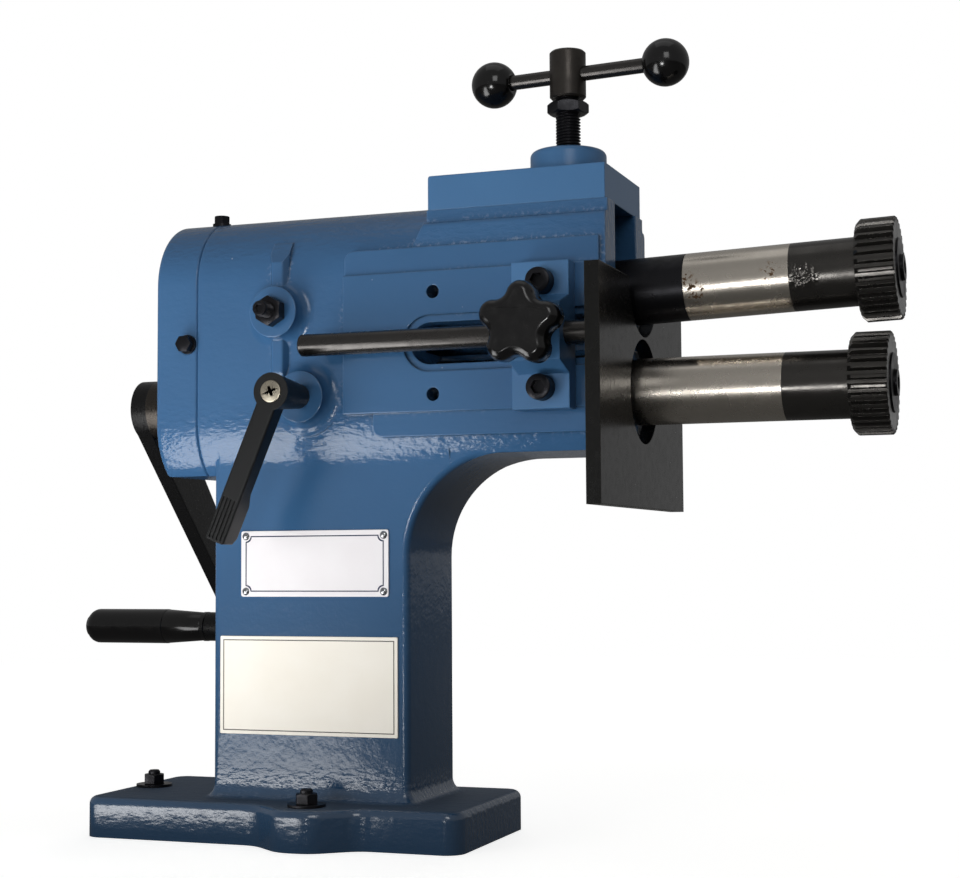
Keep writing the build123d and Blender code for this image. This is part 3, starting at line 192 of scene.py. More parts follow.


# Thick gloss enamel brushed over a rough iron casting: it levels into an orange peel and beads along the edges.
# Its colour has painted shade low down and in the inside corners, painted highlights along the edges and a little way
# off the corners, an oily shine towards the base and dust on the base's top.
def castEnamel(look):
    material, coord = newMaterial("gloss_enamel_on_cast_iron", 0.0, 0.2)
    tree = material.node_tree
    place = splitAxes(coord)
    facing = splitAxes(faceNormal(tree))
    lumps = noise(coord, look["lump"], 2.0)
    tone = mixColour(noise(coord, look["drift"], 3.0), look["colour"], look["deep"])
    # painted shade: darker from the column's foot down; and a dull film of dust on the base's top
    low = remap(place["Z"], *look["paintedShadeLow"], smooth=True)
    shadedLow = mixColour(low, tone, look["paintedShade"])
    settled = maths("MULTIPLY", remap(facing["Z"], *look["upward"], smooth=True), low)
    dusty = mixColour(settled, shadedLow, look["dust"])
    cells = addNode(tree, "TexVoronoi", None, {"Vector": coord, "Scale": grain(look["speck"])})
    flecked = mixColour(remap(cells.outputs["Distance"], *look["fleck"]), dusty, look["chipAndGlint"])
    # rounded edges catch the light; along them a paler colour stands partly for thin paint and partly for a painted
    # highlight, and the paint beads beside them
    edge = roundEdge(tree, look["edge"], 6)
    lean = edgeLean(edge)
    thinAndLitEdge = maths("MULTIPLY", remap(lean, *look["edgeSpan"]), lumps)
    edged = mixColour(thinAndLitEdge, flecked, look["thinAndLit"])
    # machined pads on the upper front are smoother than the cast skin
    front = remap(place["Y"], *look["machined"])
    # painted shade: the inside corners and the roots of the bosses are darkened through an ambient occlusion mask
    hollow = addNode(
        tree, "AmbientOcclusion", {"samples": 8, "only_local": True}, {"Distance": look["corner"]},
    ).outputs["AO"]
    cornerShade = mixColour(remap(hollow, *look["cornerShade"]), edged, look["paintedShade"])
    # a ragged painted highlight, in a band a little way off the inside corners
    paintedGlint = maths("MULTIPLY", remap(hollow, *look["inner"]), remap(hollow, *look["outer"]))
    lengths = remap(noise(coord, look["gap"], 2.0), *look["lengths"])
    ragged = remap(noise(coord, look["crumb"], 6.0), *look["ragged"])
    for share in (lengths, front, ragged):
        paintedGlint = maths("MULTIPLY", paintedGlint, share)
    # the cast skin is most rippled on the base, on the head's lower rounding and under the cap
    foot = remap(place["Z"], *look["foot"])
    belly, above = (remap(place["Z"], *look[name], smooth=True) for name in ("belly", "above"))
    lower = maths("MAXIMUM", foot, maths("MULTIPLY", belly, above))
    either = maths("MAXIMUM", lower, remap(place["Z"], *look["ledge"]))
    rippled = maths("MULTIPLY", either, front)
    ripple = noise(vectorMaths("MULTIPLY", coord, look["run"])["Vector"], look["ripple"], 3.0)
    wavy = bump(*look["lumpDepth"], lumps, edge)
    folds = bump(rippled, look["rippleDistance"], ripple, wavy)
    rough = maths("MULTIPLY", remap(lean, *look["bead"]), front)
    return feed(material, {
        "Base Color": mixColour(paintedGlint, cornerShade, look["chipAndGlint"]),
        "Roughness": remap(settled, *look["shine"]),
        "Specular IOR Level": remap(place["Z"], *look["oily"]),
        "Normal": bump(rough, look["peelDistance"], noise(coord, look["peel"], 1.0), folds),
    })


satinLook = {
    "colour": "#426f9a", "deep": "#3a648e", "peel": 1.6, "drift": 50.0, "edge": 0.0012, "depth": (0.3, 0.00015),
}


# Enamel over machined faces: the same blue, level and a little softer in its shine.
def satinEnamel(look):
    material, coord = newMaterial("satin_enamel_on_machined_iron", 0.0, 0.32)
    peel = noise(coord, look["peel"], 2.0)
    return feed(material, {
        "Base Color": mixColour(noise(coord, look["drift"], 3.0), look["colour"], look["deep"]),
        "Normal": marked(look, peel),
    })


# what most of the steels share
steelLook = {
    "metallic": 1.0, "span": (0.3, 0.7), "mark": 0.4, "along": (1.0, 1.0, 1.0), "edge": 0.0003,
    "run": 4.0, "runDistance": 0.002, "wetShine": 0.06,
}


# Steel by its finish: base tones, shine, how coarse its marks are and along which axis they repeat.
def steelFinish(look):
    look = {**steelLook, **look}
    material, coord = newMaterial(look["name"], look["metallic"], 0.3)
    patch = noise(coord, look["patch"], 4.0)
    lines = noise(scaleAxes(coord, look["along"]), look["mark"], 2.0)
    shine = remap(patch, look["span"], look["roughness"])
    skin = marked(look, lines)
    if "smear" in look:
        # a smear of wet oil, with runs that catch the light
        place, reach = look["smear"]
        wet = remap(distanceTo(coord, place), (0.5 * reach, reach), (1.0, 0.0))
        skin = bump(wet, look["runDistance"], noise(coord, look["run"], 2.0), skin)
        shine = mixValue(wet, shine, look["wetShine"])
    return feed(material, {
        "Base Color": mixColour(patch, look["colour"], look["dark"]), "Roughness": shine, "Normal": skin,
    })


# black oxide: a thin dark skin that keeps the steel's satin shine
oxideLook = {
    "name": "black_oxide_steel", "metallic": 0.7, "colour": "#26262a", "dark": "#17171a", "patch": 6.0,
    "roughness": (0.26, 0.42), "mark": 0.5, "depth": (0.2, 0.00012), "edge": 0.0004,
}
# drawn bar with a blued skin that shines along its length
barLook = {
    "name": "blued_drawn_steel", "metallic": 0.9, "colour": "#565452", "dark": "#3d3b3a", "patch": 9.0,
    "roughness": (0.2, 0.32), "mark": 0.5, "along": (0.03, 1.0, 1.0), "depth": (0.12, 0.00012),
}
# hardened and oiled rolls: darker, with wet patches, and a thick smear on the upper one's hub
rollLook = {
    "name": "oiled_hardened_steel", "metallic": 0.9, "colour": "#5a5855", "dark": "#3c3a38", "patch": 14.0,
    "roughness": (0.15, 0.32), "along": (1.0, 0.04, 0.04), "depth": (0.12, 0.00012),
    "smear": ((0.3373, -0.019, 0.3474), 0.011),
}
# thick turned steel with a brown-grey skin and tool lines
hubLook = {
    "name": "brown_oxide_turned_steel", "metallic": 0.8, "colour": "#4a4642", "dark": "#2f2c2a", "patch": 8.0,
    "roughness": (0.28, 0.45), "mark": 0.7, "along": (1.0, 1.0, 0.08), "depth": (0.25, 0.00012), "edge": 0.0004,
}
# bright inner steel of gears, keys and thrust rings, with lathe lines
brightLook = {
    "name": "bright_turned_steel", "colour": "#b3aea6", "dark": "#8f8a83", "patch": 20.0,
    "roughness": (0.22, 0.34), "along": (1.0, 0.05, 0.05), "depth": (0.2, 0.00012),
}
# bushes and clamp pads in warm brown bronze, turned to a soft shine
bronzeLook = {
    "name": "bearing_bronze", "colour": "#a8793c", "dark": "#7f5a2c", "patch": 10.0,
    "roughness": (0.28, 0.4), "along": (1.0, 0.06, 0.06), "depth": (0.2, 0.00012),
}
# rivets with the cool, nearly white gleam of zinc
zincLook = {
    "name": "bright_zinc_plate", "colour": "#c9cacc", "dark": "#a9abb0", "patch": 3.0,
    "roughness": (0.18, 0.3), "mark": 0.6, "depth": (0.15, 0.00012),
}
# the lever's screw is plated too, but straw-coloured and duller
warmLook = {
    "name": "yellow_zinc_plate", "colour": "#d3ccbc", "dark": "#aea58f", "patch": 2.0,
    "roughness": (0.26, 0.4), "mark": 0.6, "depth": (0.3, 0.00012),
}
# grey spring wire with an even drawn skin
wireLook = {
    "name": "drawn_spring_wire", "colour": "#8d8d92", "dark": "#6a6a70", "patch": 4.0,
    "roughness": (0.24, 0.34), "mark": 0.3, "depth": (0.1, 0.00012), "edge": 0.0002,
}
spacerLook = {
    "colour": "#d8d1c6", "dark": "#c3bbb0", "rust": "#6a4a25", "line": 0.7, "along": (1.0, 0.03, 0.03),
    "cloud": 12.0, "bit": 2.2, "edge": 0.0005, "depth": (0.025, 0.00008), "shine": ((0.3, 0.7), (0.22, 0.3)),
    "broken": ((0.42, 0.6), (-0.55, 0.55)), "bloom": ((0.55, 0.95), (0.0, 0.85)),
    "rustSpots": [
        ((0.2715, -0.019, 0.3425), 0.0085), ((0.2665, -0.019, 0.35), 0.006), ((0.318, -0.019, 0.352), 0.0075),
    ],
}


# Cylindrically ground steel, warm and bright, with hardly visible rings round it and a few spots of rust.
def groundSteel(look):
    material, coord = newMaterial("ground_steel", 1.0, 0.24)
    lines = noise(scaleAxes(coord, look["along"]), look["line"], 3.0)
    cloud = noise(coord, look["cloud"], 4.0)
    tone = mixColour(cloud, look["colour"], look["dark"])
    # each rust spot fades out from its middle, broken up by a fine grain
    near = [remap(distanceTo(coord, place), (0.0, reach), (1.0, 0.0)) for place, reach in look["rustSpots"]]
    rust = near[0]
    for other in near[1:]:
        rust = maths("MAXIMUM", rust, other)
    broken = remap(noise(coord, look["bit"], 5.0), *look["broken"])
    bloom = remap(maths("ADD", rust, broken), *look["bloom"])
    return feed(material, {
        "Base Color": mixColour(bloom, tone, look["rust"]),
        "Roughness": maths("MAXIMUM", remap(cloud, *look["shine"]), bloom),
        "Normal": marked(look, lines),
    })


blackPaintLook = {
    "colour": "#111110", "dust": "#4a463f", "edge": 0.0008, "scuff": 5.0, "specular": 0.26, "depth": (0.015, 0.0002),
    "edgeSpan": ((0.97, 0.8), (0.0, 1.0)), "shine": ((0.35, 0.75), (0.22, 0.3)),
}


# Satin black paint on flat bar: even faces that mirror the shafts softly, and browner edges where it is thin.
def blackPaint(look):
    material, coord = newMaterial("satin_black_paint_on_steel", 0.0, 0.4, look["specular"])
    scuff = noise(coord, look["scuff"], 6.0)
    edge = roundEdge(material.node_tree, look["edge"])
    wear = maths("MULTIPLY", remap(edgeLean(edge), *look["edgeSpan"]), scuff)
    return feed(material, {
        "Base Color": mixColour(wear, look["colour"], look["dust"]),
        "Roughness": remap(scuff, *look["shine"]),
        "Normal": bump(*look["depth"], scuff, edge),
    })


crankLook = {
    "arm": "#0b0b0c", "hub": "#4b4743", "hubSpan": (-0.1122, -0.1118), "pit": 1.6, "specular": 0.28, "edge": 0.0015,
    "depth": (0.25, 0.0003), "shine": ((0.3, 0.7), (0.22, 0.42)),
}


# The crank is forged: a painted arm with a dull edge, and a bare turned hub with pits.
def crankForging(look):
    material, coord = newMaterial("painted_forging", 0.0, 0.25, look["specular"])
    pits = noise(coord, look["pit"], 5.0)
    bare = remap(splitAxes(coord)["X"], look["hubSpan"])
    return feed(material, {
        "Base Color": mixColour(bare, look["arm"], look["hub"]),
        "Metallic": bare,
        "Roughness": remap(pits, *look["shine"]),
        "Normal": marked(look, pits),
    })


phenolicLook = {"colour": "#060607", "faded": "#0d0c0c", "ripple": 6.0, "span": (0.3, 0.75), "depth": (0.1, 0.0003)}


# Black phenolic: deep black, and according to its polish with sharp or soft reflections and a faint ripple.
def phenolic(name, look, shine):
    material, coord = newMaterial(name, 0.0, shine[0])
    ripple = noise(coord, look["ripple"], 2.0)
    return feed(material, {
        "Base Color": mixColour(ripple, look["colour"], look["faded"]),
        "Roughness": remap(ripple, look["span"], shine),
        "Normal": bump(*look["depth"], ripple),
    })


nylonLook = {
    "colour": "#0c0d0e", "fibre": "#151617", "speck": 0.9, "specular": 0.3, "edge": 0.0008, "depth": (0.25, 0.00012),
}


# Glass-filled nylon: charcoal, with a fine moulded grain that scatters the light.
def charcoalNylon(look):
    material, coord = newMaterial("charcoal_nylon", 0.0, 0.45, look["specular"])
    speck = noise(coord, look["speck"], 3.0)
    return feed(material, {
        "Base Color": mixColour(speck, look["colour"], look["fibre"]),
        "Normal": marked(look, speck),
    })


lacquerLook = {"cloud": 30.0, "specular": 0.25, "depth": (0.1, 0.0004)}


# Lacquered sheet with a faint cloud of yellowing; the ink on it is a separate matt print.
def lacquerSheet(name, look, colour, aged, roughness):
    material, coord = newMaterial(name, 0.0, roughness, look["specular"])
    cloud = noise(coord, look["cloud"], 4.0)
    return feed(material, {
        "Base Color": mixColour(cloud, colour, aged), "Normal": bump(*look["depth"], cloud),
    })


enamel = castEnamel(enamelLook)
satin = satinEnamel(satinLook)
steels = (oxideLook, barLook, rollLook, hubLook, brightLook, bronzeLook, zincLook, warmLook, wireLook)
oxide, drawnBar, rollSteel, hubSteel, brightSteel, bronze, zinc, warmZinc, springWire = map(steelFinish, steels)
spacerSteel = groundSteel(spacerLook)
paintedBar = blackPaint(blackPaintLook)
forging = crankForging(crankLook)
knobBlack = phenolic("polished_phenolic", phenolicLook, (0.12, 0.22))
knobSatin = phenolic("satin_phenolic", phenolicLook, (0.16, 0.28))
nylon = charcoalNylon(nylonLook)
whitePlate = lacquerSheet("white_lacquered_plate", lacquerLook, "#f1eff1", "#e8e4e6", 0.55)
creamPlate = lacquerSheet("cream_lacquered_plate", lacquerLook, "#f7f3ea", "#efe9dc", 0.55)
plateInk = lacquerSheet("navy_print", lacquerLook, "#2b3350", "#232b45", 0.5)
plateLine = lacquerSheet("grey_print", lacquerLook, "#5a5650", "#4b4742", 0.5)
print("materials made:", len(bpy.data.materials))

# CAD nodes that keep their shape and take a finish
finishes = {
    enamel: ["frame_casting", "gear_cover"],
    satin: ["pressure_cap", "fence_bracket"],
    oxide: [
        "gear_cover_washers", "hold_down_washers", "crank_set_screw", "lower_roll_washer", "lower_roll_screw",
        "upper_roll_washer", "upper_roll_screw", "upper_circlip", "pressure_shoe",
        "fence_knob_stud", "clamp_lever_stud", "handle_spindle", "rocker",
    ],
    drawnBar: ["fence_rod", "tommy_bar"],
    rollSteel: ["lower_roll", "upper_roll"],
    hubSteel: ["tee_hub"],
    brightSteel: [
        "lower_quill", "lower_shaft", "upper_shaft", "lower_keys", "upper_keys", "lower_thrust_ring",
        "upper_thrust_ring", "lower_gear", "upper_gear",
    ],
    bronze: ["lower_bushes", "upper_bushes", "fence_clamp_pad", "quill_clamp_plug"],
    spacerSteel: ["lower_spacer", "upper_spacer"],
    paintedBar: ["fence_plate"],
    forging: ["crank_arm"],
    nylon: ["clamp_lever"],
}
nodeShading = {"weld": 0.000005, "crisp": 28}


# Round faces of a CAD node shade smoothly, and its edges stay crisp.
def dressNode(node, material, look):
    piece = frame["nodes"][node]
    piece.data.materials.clear()
    piece.data.materials.append(material)
    piece.data.polygons.foreach_set("use_smooth", [True] * len(piece.data.polygons))
    weld = piece.modifiers.new("weld", "WELD")
    weld.merge_threshold = look["weld"]
    split = piece.modifiers.new("crisp_edges", "EDGE_SPLIT")
    split.split_angle = radians(look["crisp"])


for material, names in finishes.items():
    for name in names:
        dressNode(name, material, nodeShading)
print("CAD nodes dressed:", sum(len(names) for names in finishes.values()))


# Piece making, in millimetres until the last step
millimetre = 0.001
weldDistance = 0.002
sameLevel = 0.0005


# a CAD node's low and high corner, middle and size
def spot(node):
    low, high = (corner * 1000 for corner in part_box(node))
    return low, high, (low + high) / 2, high - low


def finishPiece(name, bm, materials, node, crease=35, across=None):
    bmesh.ops.remove_doubles(bm, verts=bm.verts, dist=weldDistance)
    bmesh.ops.recalc_face_normals(bm, faces=bm.faces)
    bmesh.ops.scale(bm, vec=[millimetre] * 3, verts=bm.verts)
    mesh = bpy.data.meshes.new(name)
    bm.to_mesh(mesh)
    bm.free()
    for material in materials:
        mesh.materials.append(material)
    mesh.shade_smooth()
    mesh.set_sharp_from_angle(angle=radians(crease))
    piece = bpy.data.objects.new(name, mesh)
    scene.collection.objects.link(piece)
    if across:
        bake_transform(piece)
    else:
        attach(piece, bodyOf[node])
    return piece


# the items of one kind among those that an operator returns
def pick(items, kind):
    return [item for item in items if isinstance(item, kind)]


def atLevel(edge, height):
    return all(abs(vert.co.z - height) < sameLevel for vert in edge.verts)


# moves the whole mesh to the first place and sets a copy at each of the others
def setOut(bm, places):
    first = bm.verts[:] + bm.edges[:] + bm.faces[:]
    groups = [first] + [bmesh.ops.duplicate(bm, geom=first)["geom"] for _ in places[1:]]
    for group, place in zip(groups, places):
        bmesh.ops.transform(bm, matrix=place, verts=pick(group, BMVert))


def arcPoints(centre, radius, start, end, count):
    turns = [radians(start + (end - start) * i / count) for i in range(count + 1)]
    return [(centre[0] + radius * cos(t), centre[1] + radius * sin(t)) for t in turns]


# turns a profile of (radius, height) points about Z and returns the last ring's edges
def latheProfile(bm, points, steps=64):
    verts = [bm.verts.new((radius, 0, height)) for radius, height in points]
    edges = [bm.edges.new(pair) for pair in zip(verts, verts[1:])]
    bmesh.ops.spin(
        bm, geom=verts + edges, cent=(0, 0, 0), axis=(0, 0, 1), angle=2 * pi, steps=steps, use_merge=True,
    )
    radius, height = points[-1]
    return [
        edge for edge in bm.edges
        if atLevel(edge, height) and all(abs(vert.co.xy.length - radius) < sameLevel for vert in edge.verts)
    ]


# closes a lathe's open top with a recess of the given outline
def sinkRecess(bm, rim, corners, depth, height):
    per = len(rim) // len(corners)
    verts = [bm.verts.new((x, y, height)) for x, y in corners]
    ring = [bm.edges.new((verts[i - 1], verts[i])) for i in range(len(verts))]
    if per > 1:
        bmesh.ops.subdivide_edges(bm, edges=ring, cuts=per - 1)
    mouth = [edge for edge in bm.edges if edge.is_wire and atLevel(edge, height)]
    bmesh.ops.bridge_loops(bm, edges=rim + mouth)
    walls = bmesh.ops.extrude_edge_only(bm, edges=mouth)["geom"]
    bmesh.ops.translate(bm, vec=(0, 0, -depth), verts=pick(walls, BMVert))
    bmesh.ops.contextual_create(bm, geom=[edge for edge in pick(walls, BMEdge) if edge.is_boundary])


def hexCorners(flats):
    reach = flats / sqrt(3)
    return [(reach * cos(radians(60 * i)), reach * sin(radians(60 * i))) for i in range(6)]


hexForm = {"turned": 0.97, "slope": 30, "cuts": 7}


# a hexagon whose corners are turned off at a slope, top and bottom as asked
def hexBlock(bm, flats, low, high, cutLow, cutHigh, bore=0.0):
    ring = bmesh.ops.create_circle(bm, segments=6, radius=flats / sqrt(3))["verts"]
    bmesh.ops.rotate(bm, cent=(0, 0, 0), matrix=Matrix.Rotation(radians(30), 3, "Z"), verts=ring)
    bmesh.ops.translate(bm, vec=(0, 0, low), verts=ring)
    sides = list({edge for vert in ring for edge in vert.link_edges})
    bmesh.ops.subdivide_edges(bm, edges=sides, cuts=hexForm["cuts"])
    start = [edge for edge in bm.edges if atLevel(edge, low)]
    upper = pick(bmesh.ops.extrude_edge_only(bm, edges=start)["geom"], BMVert)
    lower = list({vert for edge in start for vert in edge.verts})
    bmesh.ops.translate(bm, vec=(0, 0, high - low), verts=upper)
    turned = flats / 2 * hexForm["turned"]
    for verts, side, cut in ((upper, 1, cutHigh), (lower, -1, cutLow)):
        rim = [edge for edge in bm.edges if edge.is_boundary and all(vert in verts for vert in edge.verts)]
        if cut:
            for vert in verts:
                vert.co.z -= side * (vert.co.xy.length - turned) * tan(radians(hexForm["slope"]))
        cap = bmesh.ops.extrude_edge_only(bm, edges=rim)["geom"]
        for vert in pick(cap, BMVert):
            vert.co.xy *= turned / vert.co.xy.length
            vert.co.z = high if side > 0 else low
        hole = [edge for edge in pick(cap, BMEdge) if edge.is_boundary]
        if bore:
            mouth = bmesh.ops.extrude_edge_only(bm, edges=hole)["geom"]
            for vert in pick(mouth, BMVert):
                vert.co.xy *= bore / 2 / vert.co.xy.length
        else:
            bmesh.ops.contextual_create(bm, geom=hole)
    if bore:
        bmesh.ops.bridge_loops(bm, edges=[edge for edge in bm.edges if edge.is_boundary])


# depth, and where the flanks start and end, as shares of the pitch
threadForm = {"depth": 0.6, "rise": (0.14, 0.46), "fall": (0.62, 0.94)}


# a screw thread from low to high: one pitch of profile wound up the rod and cut off square
def windThread(bm, diameter, pitch, low, high, steps=36):
    radius = diameter / 2
    root = radius - threadForm["depth"] * pitch
    turns = ceil((high - low) / pitch) + 2
    start = low - pitch
    foot, crest = threadForm["rise"]
    brow, heel = threadForm["fall"]
    shape = [(root, 0), (root, foot), (radius, crest), (radius, brow), (root, heel), (root, 1)]
    verts = [bm.verts.new((reach, 0, start + share * pitch)) for reach, share in shape]
    edges = [bm.edges.new(pair) for pair in zip(verts, verts[1:])]
    bmesh.ops.spin(
        bm, geom=verts + edges, cent=(0, 0, 0), axis=(0, 0, 1), dvec=(0, 0, pitch / steps),
        angle=2 * pi * turns, steps=steps * turns,
    )
    bmesh.ops.remove_doubles(bm, verts=bm.verts, dist=weldDistance)
    for height, normal in ((low, (0, 0, -1)), (high, (0, 0, 1))):
        cut = bmesh.ops.bisect_plane(
            bm, geom=bm.verts[:] + bm.edges[:] + bm.faces[:], dist=sameLevel, plane_co=(0, 0, height),
            plane_no=normal, clear_outer=True,
        )
        bmesh.ops.contextual_create(bm, geom=pick(cut["geom_cut"], BMEdge))


towardsFront = Matrix.Rotation(radians(90), 4, "X")
towardsRear = Matrix.Rotation(radians(-90), 4, "X")
alongX = Matrix.Rotation(radians(90), 4, "Y")
againstX = Matrix.Rotation(radians(-90), 4, "Y")


def at(x, y, z):
    return Matrix.Translation((x, y, z))


def turnedBy(angle):
    return Matrix.Rotation(radians(angle), 4, "Z")


# Pressure screw with its thread, and the jam nut under the tee
pressScrew = {"pitch": 2.0, "pointLength": 5.0, "pointDiameter": 8.0, "edge": 0.6, "overlap": 0.5}


def makePressureScrew(look):
    low, high, middle, size = spot("pressure_screw")
    shoulder = low.z + look["pointLength"]
    point = look["pointDiameter"] / 2
    bm = bmesh.new()
    windThread(bm, size.x, look["pitch"], shoulder, high.z)
    latheProfile(bm, [
        (0, low.z), (point - look["edge"], low.z), (point, low.z + look["edge"]), (point, shoulder + look["overlap"]),
    ], steps=32)
    setOut(bm, [at(middle.x, middle.y, 0)])
    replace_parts(finishPiece("pressure_screw_threaded", bm, [oxide], "pressure_screw"), "pressure_screw")


jamNut = {"flats": 23.2, "turn": 17.0}


def makeJamNut(look):
    low, high, middle, _ = spot("screw_lock_nut")
    bm = bmesh.new()
    hexBlock(bm, look["flats"], low.z, high.z, True, True, spot("pressure_screw")[3].x)
    setOut(bm, [at(middle.x, middle.y, 0) @ turnedBy(look["turn"])])
    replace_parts(finishPiece("screw_jam_nut", bm, [oxide], "screw_lock_nut"), "screw_lock_nut")


makePressureScrew(pressScrew)
makeJamNut(jamNut)

# Pivot screws: threaded studs with a hex socket in the outer end, and their nuts
pivotStud = {
    "diameter": 10.0, "pitch": 1.5, "socket": 5.0, "socketDepth": 5.0, "end": 1.0, "inset": 0.1, "edge": 0.6,
    "overlap": 0.4, "point": 8.0, "pointLength": 5.8, "pointEdge": 0.5, "pointOverlap": 0.2, "gap": 0.3,
}


def makePivotScrews(look):
    _, _, middle, size = spot("pivot_screws")
    tip = spot("rocker")[3].y / 2 + look["gap"]
    length = size.y / 2 - tip
    threadEnd = length - look["end"]
    outer = look["diameter"] / 2 - look["inset"]
    point, bottom = look["point"] / 2, -look["pointLength"]
    bm = bmesh.new()
    windThread(bm, look["diameter"], look["pitch"], 0, threadEnd, steps=28)
    rim = latheProfile(bm, [
        (outer, threadEnd - look["overlap"]), (outer, length - look["edge"]), (outer - look["edge"], length),
    ], steps=48)
    sinkRecess(bm, rim, hexCorners(look["socket"]), look["socketDepth"], length)
    latheProfile(bm, [
        (0, bottom), (point - look["pointEdge"], bottom), (point, bottom + look["pointEdge"]),
        (point, look["pointOverlap"]),
    ], steps=32)
    setOut(bm, [at(middle.x, -tip, middle.z) @ towardsFront, at(middle.x, tip, middle.z) @ towardsRear])
    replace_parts(finishPiece("pivot_studs", bm, [oxide], "pivot_screws"), "pivot_screws")


pivotNut = {"flats": 17.0, "thick": 8.0, "turn": 30.0}


def makePivotNuts(look):
    low, high, middle, _ = spot("pivot_lock_nuts")
    bm = bmesh.new()
    hexBlock(bm, look["flats"], -look["thick"], 0, False, True, pivotStud["diameter"])
    turned = turnedBy(look["turn"])
    front = at(middle.x, low.y, middle.z) @ towardsFront @ turned
    rear = at(middle.x, high.y, middle.z) @ towardsRear @ turned
    setOut(bm, [front, rear])
    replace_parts(finishPiece("pivot_jam_nuts", bm, [oxide], "pivot_lock_nuts"), "pivot_lock_nuts")


makePivotScrews(pivotStud)
makePivotNuts(pivotNut)

# Hex screws of the gear cover and of the base, with turned-off corners
coverScrew = {"flats": 10.0, "head": 5.4, "shank": 6.0, "reach": 11.7, "tip": 0.8, "overlap": 0.1}
holdBolt = {"flats": 13.0, "head": 6.5, "shank": 8.0, "end": 2.8, "edge": 1.0, "tip": 0.8, "overlap": 0.1}


def makeHexScrew(bm, look, reach):
    hexBlock(bm, look["flats"], 0, look["head"], False, True)
    shank = look["shank"] / 2
    latheProfile(bm, [
        (0, -reach), (shank - look["tip"], -reach), (shank, look["tip"] - reach), (shank, look["overlap"]),
        (0, look["overlap"]),
    ], steps=24)


def makeCoverScrews(look):
    low, high, middle, _ = spot("gear_cover_screws")
    middleZ = spot("gear_cover")[2].z
    bm = bmesh.new()
    makeHexScrew(bm, look, look["reach"])
    setOut(bm, [
        at(middle.x, 0, high.z - look["head"]),
        at(middle.x, low.y + look["head"], middleZ) @ towardsFront,
        at(middle.x, high.y - look["head"], middleZ) @ towardsRear,
    ])
    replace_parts(finishPiece("cover_hex_screws", bm, [oxide], "gear_cover_screws"), "gear_cover_screws")


def makeHoldBolts(look):
    low, high, _, size = spot("hold_down_bolts")
    half = look["flats"] / 2
    corner = look["flats"] / sqrt(3)
    shank = look["shank"] / 2
    root = look["head"] - look["overlap"]
    top = look["head"] + look["end"]
    bm = bmesh.new()
    makeHexScrew(bm, look, size.z - top)
    latheProfile(bm, [
        (0, root), (shank, root), (shank, top - look["edge"]), (shank - look["edge"], top), (0, top),
    ], steps=32)
    seat = high.z - top
    sideX = high.x - corner
    setOut(bm, [at(sideX, low.y + half, seat), at(sideX, high.y - half, seat), at(low.x + corner, 0, seat)])
    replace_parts(finishPiece("hold_down_hex_bolts", bm, [oxide], "hold_down_bolts"), "hold_down_bolts")


makeCoverScrews(coverScrew)
makeHoldBolts(holdBolt)

# Socket head screws: a knurled head with a hex socket
capScrew = {"head": 13.0, "height": 8.0, "socket": 6.0, "depth": 4.0, "shank": 8.0}
bracketScrew = {"head": 16.0, "height": 10.0, "socket": 8.0, "depth": 5.0, "shank": 10.0}
# each step of the side lies so far in from the radius, and so far above the seat or below the top
socketForm = {
    "foot": ((0.3, 0.0), (0.0, 0.4), (0.0, 0.8)), "crown": ((0.0, 1.3), (0.35, 0.5), (1.1, 0.0)),
    "columns": 72, "knurl": 0.28, "knurlFoot": 0.6, "knurlTop": 1.0, "skin": 0.05,
}


def makeSocketScrew(bm, look, reach):
    radius, height, shank = look["head"] / 2, look["height"], look["shank"] / 2
    profile = [(0, -reach), (shank, -reach), (shank, 0)]
    profile += [(radius - inset, rise) for inset, rise in socketForm["foot"]]
    profile += [(radius - inset, height - drop) for inset, drop in socketForm["crown"]]
    rim = latheProfile(bm, profile, socketForm["columns"])
    # every second column of the head's side is pressed in as a knurl
    for vert in bm.verts:
        between = socketForm["knurlFoot"] < vert.co.z < height - socketForm["knurlTop"]
        if between and vert.co.xy.length > radius - socketForm["skin"]:
            column = round(Vector((1, 0)).angle_signed(vert.co.xy, 0.0) / (2 * pi / socketForm["columns"]))
            if column % 2:
                vert.co.xy *= 1 - socketForm["knurl"] / radius
    sinkRecess(bm, rim, hexCorners(look["socket"]), look["depth"], height)


def makeCapScrews(look):
    low, high, _, size = spot("cap_screws")
    bm = bmesh.new()
    makeSocketScrew(bm, look, size.z - look["height"])
    inset = look["head"] / 2
    xs = (low.x + inset, high.x - inset)
    ys = (low.y + inset, high.y - inset)
    setOut(bm, [at(x, y, high.z - look["height"]) for x in xs for y in ys])
    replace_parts(finishPiece("cap_socket_screws", bm, [oxide], "cap_screws"), "cap_screws")


def makeBracketScrews(look):
    low, high, middle, size = spot("bracket_screws")
    bm = bmesh.new()
    makeSocketScrew(bm, look, size.y - look["height"])
    inset = look["head"] / 2
    face = low.y + look["height"]
    setOut(bm, [at(middle.x, face, z) @ towardsFront for z in (low.z + inset, high.z - inset)])
    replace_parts(finishPiece("bracket_socket_screws", bm, [oxide], "bracket_screws"), "bracket_screws")


makeCapScrews(capScrew)
makeBracketScrews(bracketScrew)
print("screws made")

# Ball knobs: turned phenolic balls with a small flat and a rolled lip where the bar goes in
ball = {"diameter": 30.0, "flat": 14.0, "bore": 9.5, "socket": 10.0, "lip": 0.5}


